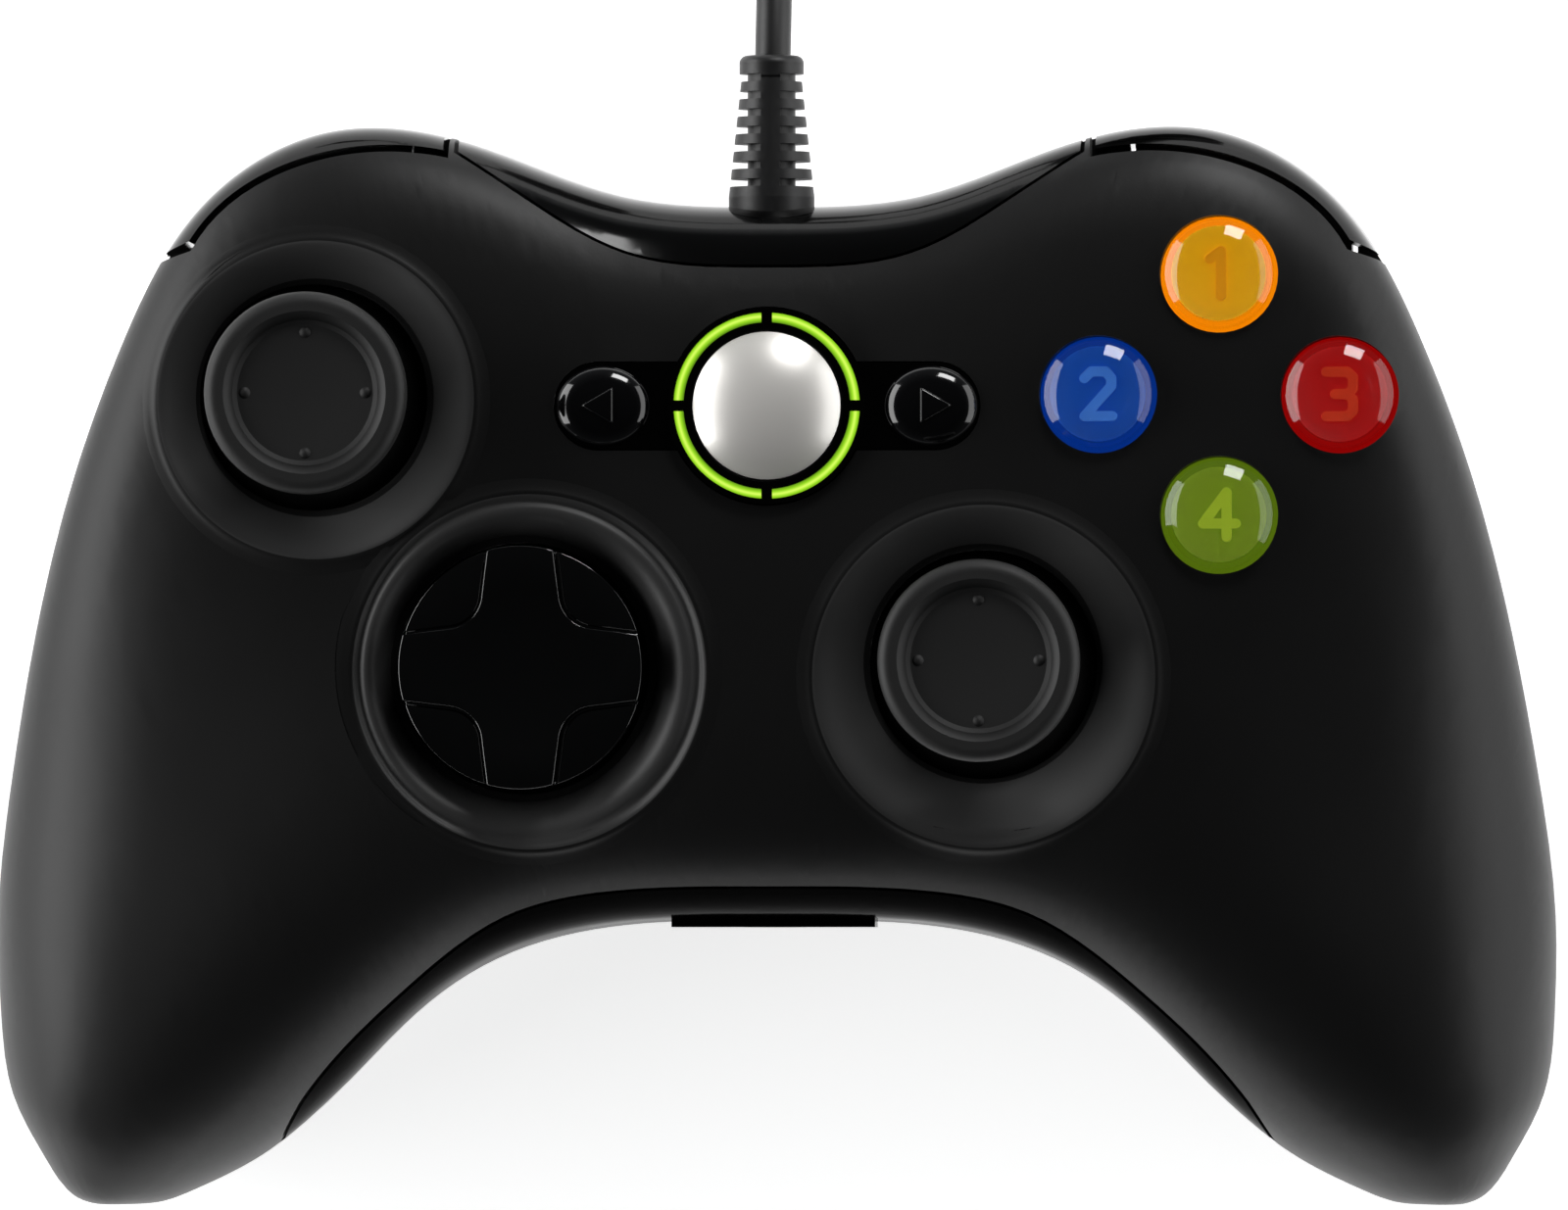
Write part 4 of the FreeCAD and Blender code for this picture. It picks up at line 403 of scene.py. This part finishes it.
def menu_dome(node, turn):
    low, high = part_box(node)
    middle, half = (low + high) / 2, (high - low) / 2
    bpy.ops.object.select_all(action="DESELECT")
    bpy.ops.mesh.primitive_cylinder_add(vertices=3, radius=mark_radius, depth=mark_thick,
                                        location=(middle.x, middle.y, mark_middle),
                                        rotation=(0, 0, turn))
    mark = bpy.context.object
    bpy.ops.object.transform_apply(location=True, rotation=True)
    soften = mark.modifiers.new("soften", "BEVEL")
    soften.width = 0.28 * MM
    soften.segments = 3
    bpy.ops.object.modifier_apply(modifier="soften")
    bpy.ops.mesh.primitive_uv_sphere_add(segments=96, ring_count=48, radius=1)
    dome = bpy.context.object
    dome.name = node + "_dome"
    bpy.ops.transform.resize(value=(half.x, half.y, dome_rise))
    bpy.ops.transform.translate(value=(middle.x, middle.y, dome_middle))
    bpy.ops.object.transform_apply(location=True, scale=True)
    mark.select_set(True)
    bpy.ops.object.join()
    bpy.ops.object.shade_smooth_by_angle(angle=math.radians(30))
    dome.data.materials.append(charcoal_abs)
    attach(dome, node)
    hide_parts(node)


menu_dome("back_button", math.pi / 2)
menu_dome("start_button", -math.pi / 2)

# Face buttons: a clear moulded acrylic lens with a polished dome over a coloured
# core, its numeral a shade off it. The core also glows faintly in its own colour:
# painted light, standing in for the light the dome gathers onto it.
clear_acrylic, tree, shader, place = new_material("clear acrylic")
stress = add_node(tree, "ShaderNodeTexNoise", {"Scale": 1 / (4 * MM)}, {"Vector": place})
gloss = add_node(tree, "ShaderNodeMapRange", {"To Min": 0.01, "To Max": 0.03},
                 {"Value": stress.outputs["Fac"]})
tree.links.new(gloss.outputs["Result"], shader.inputs["Roughness"])
shader.inputs["Base Color"].default_value = linear("#FFFFFF")
shader.inputs["Transmission Weight"].default_value = 1.0
shader.inputs["IOR"].default_value = 1.49
dress(clear_acrylic, "top_button", "left_button", "right_button", "bottom_button")

core_colours = {
    "top_core": ("#F7B400", "#E89A00"),
    "left_core": ("#0A4CB0", "#3F7BD8"),
    "right_core": ("#B80808", "#CC3414"),
    "bottom_core": ("#7E9A1C", "#A9C42C"),
}
numeral_from = 0.27 * MM
for name, (body_colour, numeral_colour) in core_colours.items():
    coloured_and_glowing, tree, shader, place = new_material("coloured ABS with painted glow " + name.split("_")[0])
    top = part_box(name)[1].z
    height = add_node(tree, "ShaderNodeSeparateXYZ", {}, {"Vector": place})
    mark = add_node(tree, "ShaderNodeMath", {"operation": "GREATER_THAN"},
                    {0: height.outputs["Z"]})
    mark.inputs[1].default_value = top - numeral_from
    ramp = add_node(tree, "ShaderNodeValToRGB", {}, {"Fac": mark.outputs["Value"]})
    ramp.color_ramp.elements[0].color = linear(body_colour)
    ramp.color_ramp.elements[1].color = linear(numeral_colour)
    tree.links.new(ramp.outputs["Color"], shader.inputs["Base Color"])
    tree.links.new(ramp.outputs["Color"], shader.inputs["Emission Color"])
    # Painted glow: the cores are no lamps, and this stands in for light gathered by the lens.
    shader.inputs["Emission Strength"].default_value = 0.3
    shader.inputs["Roughness"].default_value = 0.35
    dress(coloured_and_glowing, name)

# Thumbsticks: the caps are moulded in thermoplastic rubber with a dry, fine
# texture; the shaft and its dome are smooth black acetal.
stick_rubber, tree, shader, place = new_material("matt thermoplastic rubber")
grain = add_node(tree, "ShaderNodeTexNoise", {"Scale": 1 / (0.25 * MM), "Detail": 2.0},
                 {"Vector": place})
press = add_node(tree, "ShaderNodeBump", {"Strength": 0.2, "Distance": 0.03 * MM},
                 {"Height": grain.outputs["Fac"]})
tree.links.new(press.outputs["Normal"], shader.inputs["Normal"])
shader.inputs["Base Color"].default_value = linear("#0A0A0A")
shader.inputs["Roughness"].default_value = 0.58
dress(stick_rubber, "left_stick_cap", "right_stick_cap")

black_acetal, tree, shader, place = new_material("black acetal")
rub = add_node(tree, "ShaderNodeTexNoise", {"Scale": 1 / (2 * MM), "Detail": 4.0},
               {"Vector": place})
gloss = add_node(tree, "ShaderNodeMapRange", {"To Min": 0.28, "To Max": 0.42},
                 {"Value": rub.outputs["Fac"]})
tree.links.new(gloss.outputs["Result"], shader.inputs["Roughness"])
shader.inputs["Base Color"].default_value = linear("#020202")
dress(black_acetal, "left_stick_shaft", "right_stick_shaft")

# Triggers: satin black ABS, moulded with the finest grain of all, smooth where
# a finger slides over it.
satin_abs, tree, shader, place = new_material("satin black ABS")
grain = add_node(tree, "ShaderNodeTexNoise", {"Scale": 1 / (0.2 * MM), "Detail": 2.0},
                 {"Vector": place})
press = add_node(tree, "ShaderNodeBump", {"Strength": 0.1, "Distance": 0.02 * MM},
                 {"Height": grain.outputs["Fac"]})
tree.links.new(press.outputs["Normal"], shader.inputs["Normal"])
shader.inputs["Base Color"].default_value = linear("#060607")
shader.inputs["Roughness"].default_value = 0.3
dress(satin_abs, "left_trigger", "right_trigger")

# Steel pieces inside: bright pins and springs, zinc-plated motor cans, stick
# frames and weights, and screws in black oxide. Turning and rolling leave fine
# lines along them.
plated_steel, tree, shader, place = new_material("plated steel")
lines = add_node(tree, "ShaderNodeTexNoise", {"Scale": 1 / (0.6 * MM), "Detail": 3.0},
                 {"Vector": place})
gloss = add_node(tree, "ShaderNodeMapRange", {"To Min": 0.25, "To Max": 0.4},
                 {"Value": lines.outputs["Fac"]})
tree.links.new(gloss.outputs["Result"], shader.inputs["Roughness"])
shader.inputs["Base Color"].default_value = linear("#B9BBBE")
shader.inputs["Metallic"].default_value = 1.0
dress(plated_steel, "left_trigger_pin", "right_trigger_pin", "left_trigger_spring",
      "right_trigger_spring", "left_motor", "right_motor", "left_motor_weight",
      "right_motor_weight", "left_stick_frame", "right_stick_frame", "plug_shell")

oxide_steel, tree, shader, place = new_material("black oxide steel")
lines = add_node(tree, "ShaderNodeTexNoise", {"Scale": 1 / (0.4 * MM), "Detail": 3.0},
                 {"Vector": place})
gloss = add_node(tree, "ShaderNodeMapRange", {"To Min": 0.35, "To Max": 0.5},
                 {"Value": lines.outputs["Fac"]})
tree.links.new(gloss.outputs["Result"], shader.inputs["Roughness"])
shader.inputs["Base Color"].default_value = linear("#3A3B3D")
shader.inputs["Metallic"].default_value = 1.0
dress(oxide_steel, "shell_screws")

# Rubber mats and white acetal mechanism pieces, hidden in the casing: silicone
# is slightly milky and dull, acetal is dense white with a waxy gloss.
silicone, tree, shader, place = new_material("grey silicone")
dust = add_node(tree, "ShaderNodeTexNoise", {"Scale": 1 / (1.5 * MM), "Detail": 4.0},
                {"Vector": place})
gloss = add_node(tree, "ShaderNodeMapRange", {"To Min": 0.6, "To Max": 0.75},
                 {"Value": dust.outputs["Fac"]})
tree.links.new(gloss.outputs["Result"], shader.inputs["Roughness"])
shader.inputs["Base Color"].default_value = linear("#B9BCBD")
dress(silicone, "face_button_mat", "centre_mat", "dpad_mat")

white_acetal, tree, shader, place = new_material("white acetal")
wax = add_node(tree, "ShaderNodeTexNoise", {"Scale": 1 / (2.5 * MM), "Detail": 2.0},
               {"Vector": place})
gloss = add_node(tree, "ShaderNodeMapRange", {"To Min": 0.35, "To Max": 0.45},
                 {"Value": wax.outputs["Fac"]})
tree.links.new(gloss.outputs["Result"], shader.inputs["Roughness"])
shader.inputs["Base Color"].default_value = linear("#DAD9D2")
dress(white_acetal, "left_stick_ball", "right_stick_ball", "left_stick_ring",
      "right_stick_ring", "left_stick_arch", "right_stick_arch", "dpad_rocker",
      "trigger_sensors", "bumper_switches", "stick_sensors", "stick_switches")

# The board: glass laminate under green solder resist, with black moulded parts
# soldered on to it.
solder_resist, tree, shader, place = new_material("green solder resist")
weave = add_node(tree, "ShaderNodeTexNoise", {"Scale": 1 / (0.8 * MM), "Detail": 3.0},
                 {"Vector": place})
ramp = add_node(tree, "ShaderNodeValToRGB", {}, {"Fac": weave.outputs["Fac"]})
ramp.color_ramp.elements[0].color = linear("#0F5A2C")
ramp.color_ramp.elements[1].color = linear("#1A7A3E")
tree.links.new(ramp.outputs["Color"], shader.inputs["Base Color"])
shader.inputs["Roughness"].default_value = 0.3
dress(solder_resist, "main_board")

moulded_epoxy, tree, shader, place = new_material("black moulded epoxy")
grain = add_node(tree, "ShaderNodeTexNoise", {"Scale": 1 / (0.15 * MM), "Detail": 2.0},
                 {"Vector": place})
press = add_node(tree, "ShaderNodeBump", {"Strength": 0.2, "Distance": 0.02 * MM},
                 {"Height": grain.outputs["Fac"]})
tree.links.new(press.outputs["Normal"], shader.inputs["Normal"])
shader.inputs["Base Color"].default_value = linear("#1D1D1E")
shader.inputs["Roughness"].default_value = 0.5
dress(moulded_epoxy, "board_parts")

# Strain relief, cable and plug: soft black PVC, satin, with the faint draw lines
# of an extruded sheath. The cable drops behind the pad and lies in a put-away
# coil beyond the picture.
soft_pvc, tree, shader, place = new_material("soft black PVC")
draw = add_node(tree, "ShaderNodeTexNoise", {"Scale": 1 / (0.5 * MM), "Detail": 3.0},
                {"Vector": place})
press = add_node(tree, "ShaderNodeBump", {"Strength": 0.12, "Distance": 0.03 * MM},
                 {"Height": draw.outputs["Fac"]})
gloss = add_node(tree, "ShaderNodeMapRange", {"To Min": 0.38, "To Max": 0.5},
                 {"Value": draw.outputs["Fac"]})
tree.links.new(gloss.outputs["Result"], shader.inputs["Roughness"])
tree.links.new(press.outputs["Normal"], shader.inputs["Normal"])
shader.inputs["Base Color"].default_value = linear("#0E0E0F")
dress(soft_pvc, "strain_relief", "plug_body")

cable_diameter = 3.5
way_out = 31.2
cable_start = (0.0, 44.55, way_out)
lie = cable_diameter / 2 + 0.02
turn_gap = 4.0
turns = 5
layers = 4
dip = 1.2
outer_turn = 29.6
lead_side = 1.5
coil_from = 127.5
run_in = 3.5
route = [cable_start, (0, 72, way_out), (lead_side, 97, lie),
         (lead_side, coil_from - run_in, lie)]
per_turn = 16
# The curve cuts the corners between its points, so they swell outwards a little
swell = 1 / math.cos(math.pi / per_turn) ** 0.6
for step in range(turns * layers * per_turn + 1):
    turn = step / per_turn
    layer = min(int(turn // turns), layers - 1)
    within = turn - layer * turns
    flat = turns - 0.5 if layer < layers - 1 else turns
    steady = min(within, flat)
    offset = 0.0
    climb = 0.0
    if within > flat:
        part = (within - flat) * 2
        offset = part * (1 - part) * turn_gap / 2 + dip * math.sin(math.pi * part) ** 2
        climb = 0.5 - 0.5 * math.cos(math.pi * part)
    inner_turn = outer_turn - turn_gap * (turns - 0.5)
    radius = inner_turn + turn_gap * steady + offset
    if layer % 2 == 0:
        radius = outer_turn - turn_gap * steady - offset
    angle = math.pi - 2 * math.pi * turn
    route.append((lead_side + outer_turn + radius * swell * math.cos(angle),
                  coil_from + radius * swell * math.sin(angle),
                  lie + turn_gap * (layer + climb)))
end_x, end_y, end_z = route[-1]
route += [(end_x, end_y + run_in, end_z), (end_x, end_y + 14.5, end_z), (-1, 157, 9),
          (-12, 169, 5.6), (-27, 172, 4), (-41, 172, 4)]
line = bpy.data.curves.new("cable", "CURVE")
line.dimensions = "3D"
spline = line.splines.new("NURBS")
spline.points.add(len(route) - 1)
for point, (x, y, z) in zip(spline.points, route):
    point.co = (x * MM, y * MM, z * MM, 1.0)
spline.order_u = 3
spline.use_endpoint_u = True
line.resolution_u = 4
line.bevel_depth = cable_diameter / 2 * MM
line.bevel_resolution = 4
line.use_fill_caps = True
line.materials.append(soft_pvc)
cable = bpy.data.objects.new("cable", line)
bpy.context.scene.collection.objects.link(cable)
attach(cable, "shell_and_board")
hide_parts("cable_lead", "cable_coil", "cable_tail")

# The coil's tie: a narrow hook-and-loop strap of woven black nylon, drawn round
# the turns on the far side of the coil, with its end lapped over on top.
woven_nylon, tree, shader, place = new_material("woven black nylon")
weave = add_node(tree, "ShaderNodeTexWave", {"Scale": 1 / (3 * MM), "Distortion": 1.5},
                 {"Vector": place})
press = add_node(tree, "ShaderNodeBump", {"Strength": 0.3, "Distance": 0.05 * MM},
                 {"Height": weave.outputs["Fac"]})
tree.links.new(press.outputs["Normal"], shader.inputs["Normal"])
shader.inputs["Base Color"].default_value = linear("#101012")
shader.inputs["Roughness"].default_value = 0.8
tie_side, tie_width = 31.1 * MM, 7 * MM
bundle_depth, bundle_height = 20.2 * MM, 15.9 * MM
bpy.ops.object.select_all(action="DESELECT")
bpy.ops.mesh.primitive_cube_add(size=1)
strap = bpy.context.object
strap.name = "coil_tie"
bpy.ops.transform.resize(value=(tie_width, bundle_depth, bundle_height))
bpy.ops.transform.translate(value=(tie_side, 148.1 * MM, bundle_height / 2))
bpy.ops.object.transform_apply(location=True, scale=True)
bpy.ops.object.mode_set(mode="EDIT")
bpy.ops.mesh.select_mode(type="FACE")
bpy.ops.mesh.select_all(action="DESELECT")
bpy.ops.object.mode_set(mode="OBJECT")
for face in strap.data.polygons:
    face.select = abs(face.normal.x) > 0.9
bpy.ops.object.mode_set(mode="EDIT")
bpy.ops.mesh.delete(type="FACE")
bpy.ops.mesh.select_mode(type="VERT")
bpy.ops.object.mode_set(mode="OBJECT")
corners = strap.modifiers.new("corners", "BEVEL")
corners.width = 2.2 * MM
corners.segments = 6
bpy.ops.object.modifier_apply(modifier="corners")
cloth = strap.modifiers.new("cloth", "SOLIDIFY")
cloth.thickness = 0.35 * MM
cloth.offset = -1
bpy.ops.object.modifier_apply(modifier="cloth")
bpy.ops.object.shade_smooth_by_angle(angle=math.radians(40))
strap.data.materials.append(woven_nylon)
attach(strap, "shell_and_board")

bpy.ops.mesh.primitive_cube_add(size=1)
lap = bpy.context.object
lap.name = "tie_end"
bpy.ops.transform.resize(value=(tie_width, 12 * MM, 0.4 * MM))
bpy.ops.transform.translate(value=(tie_side, 149 * MM, 16.05 * MM))
bpy.ops.object.transform_apply(location=True, scale=True)
corners = lap.modifiers.new("corners", "BEVEL")
corners.width = 0.18 * MM
corners.segments = 3
bpy.ops.object.modifier_apply(modifier="corners")
bpy.ops.object.shade_smooth_by_angle(angle=math.radians(40))
lap.data.materials.append(woven_nylon)
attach(lap, "shell_and_board")
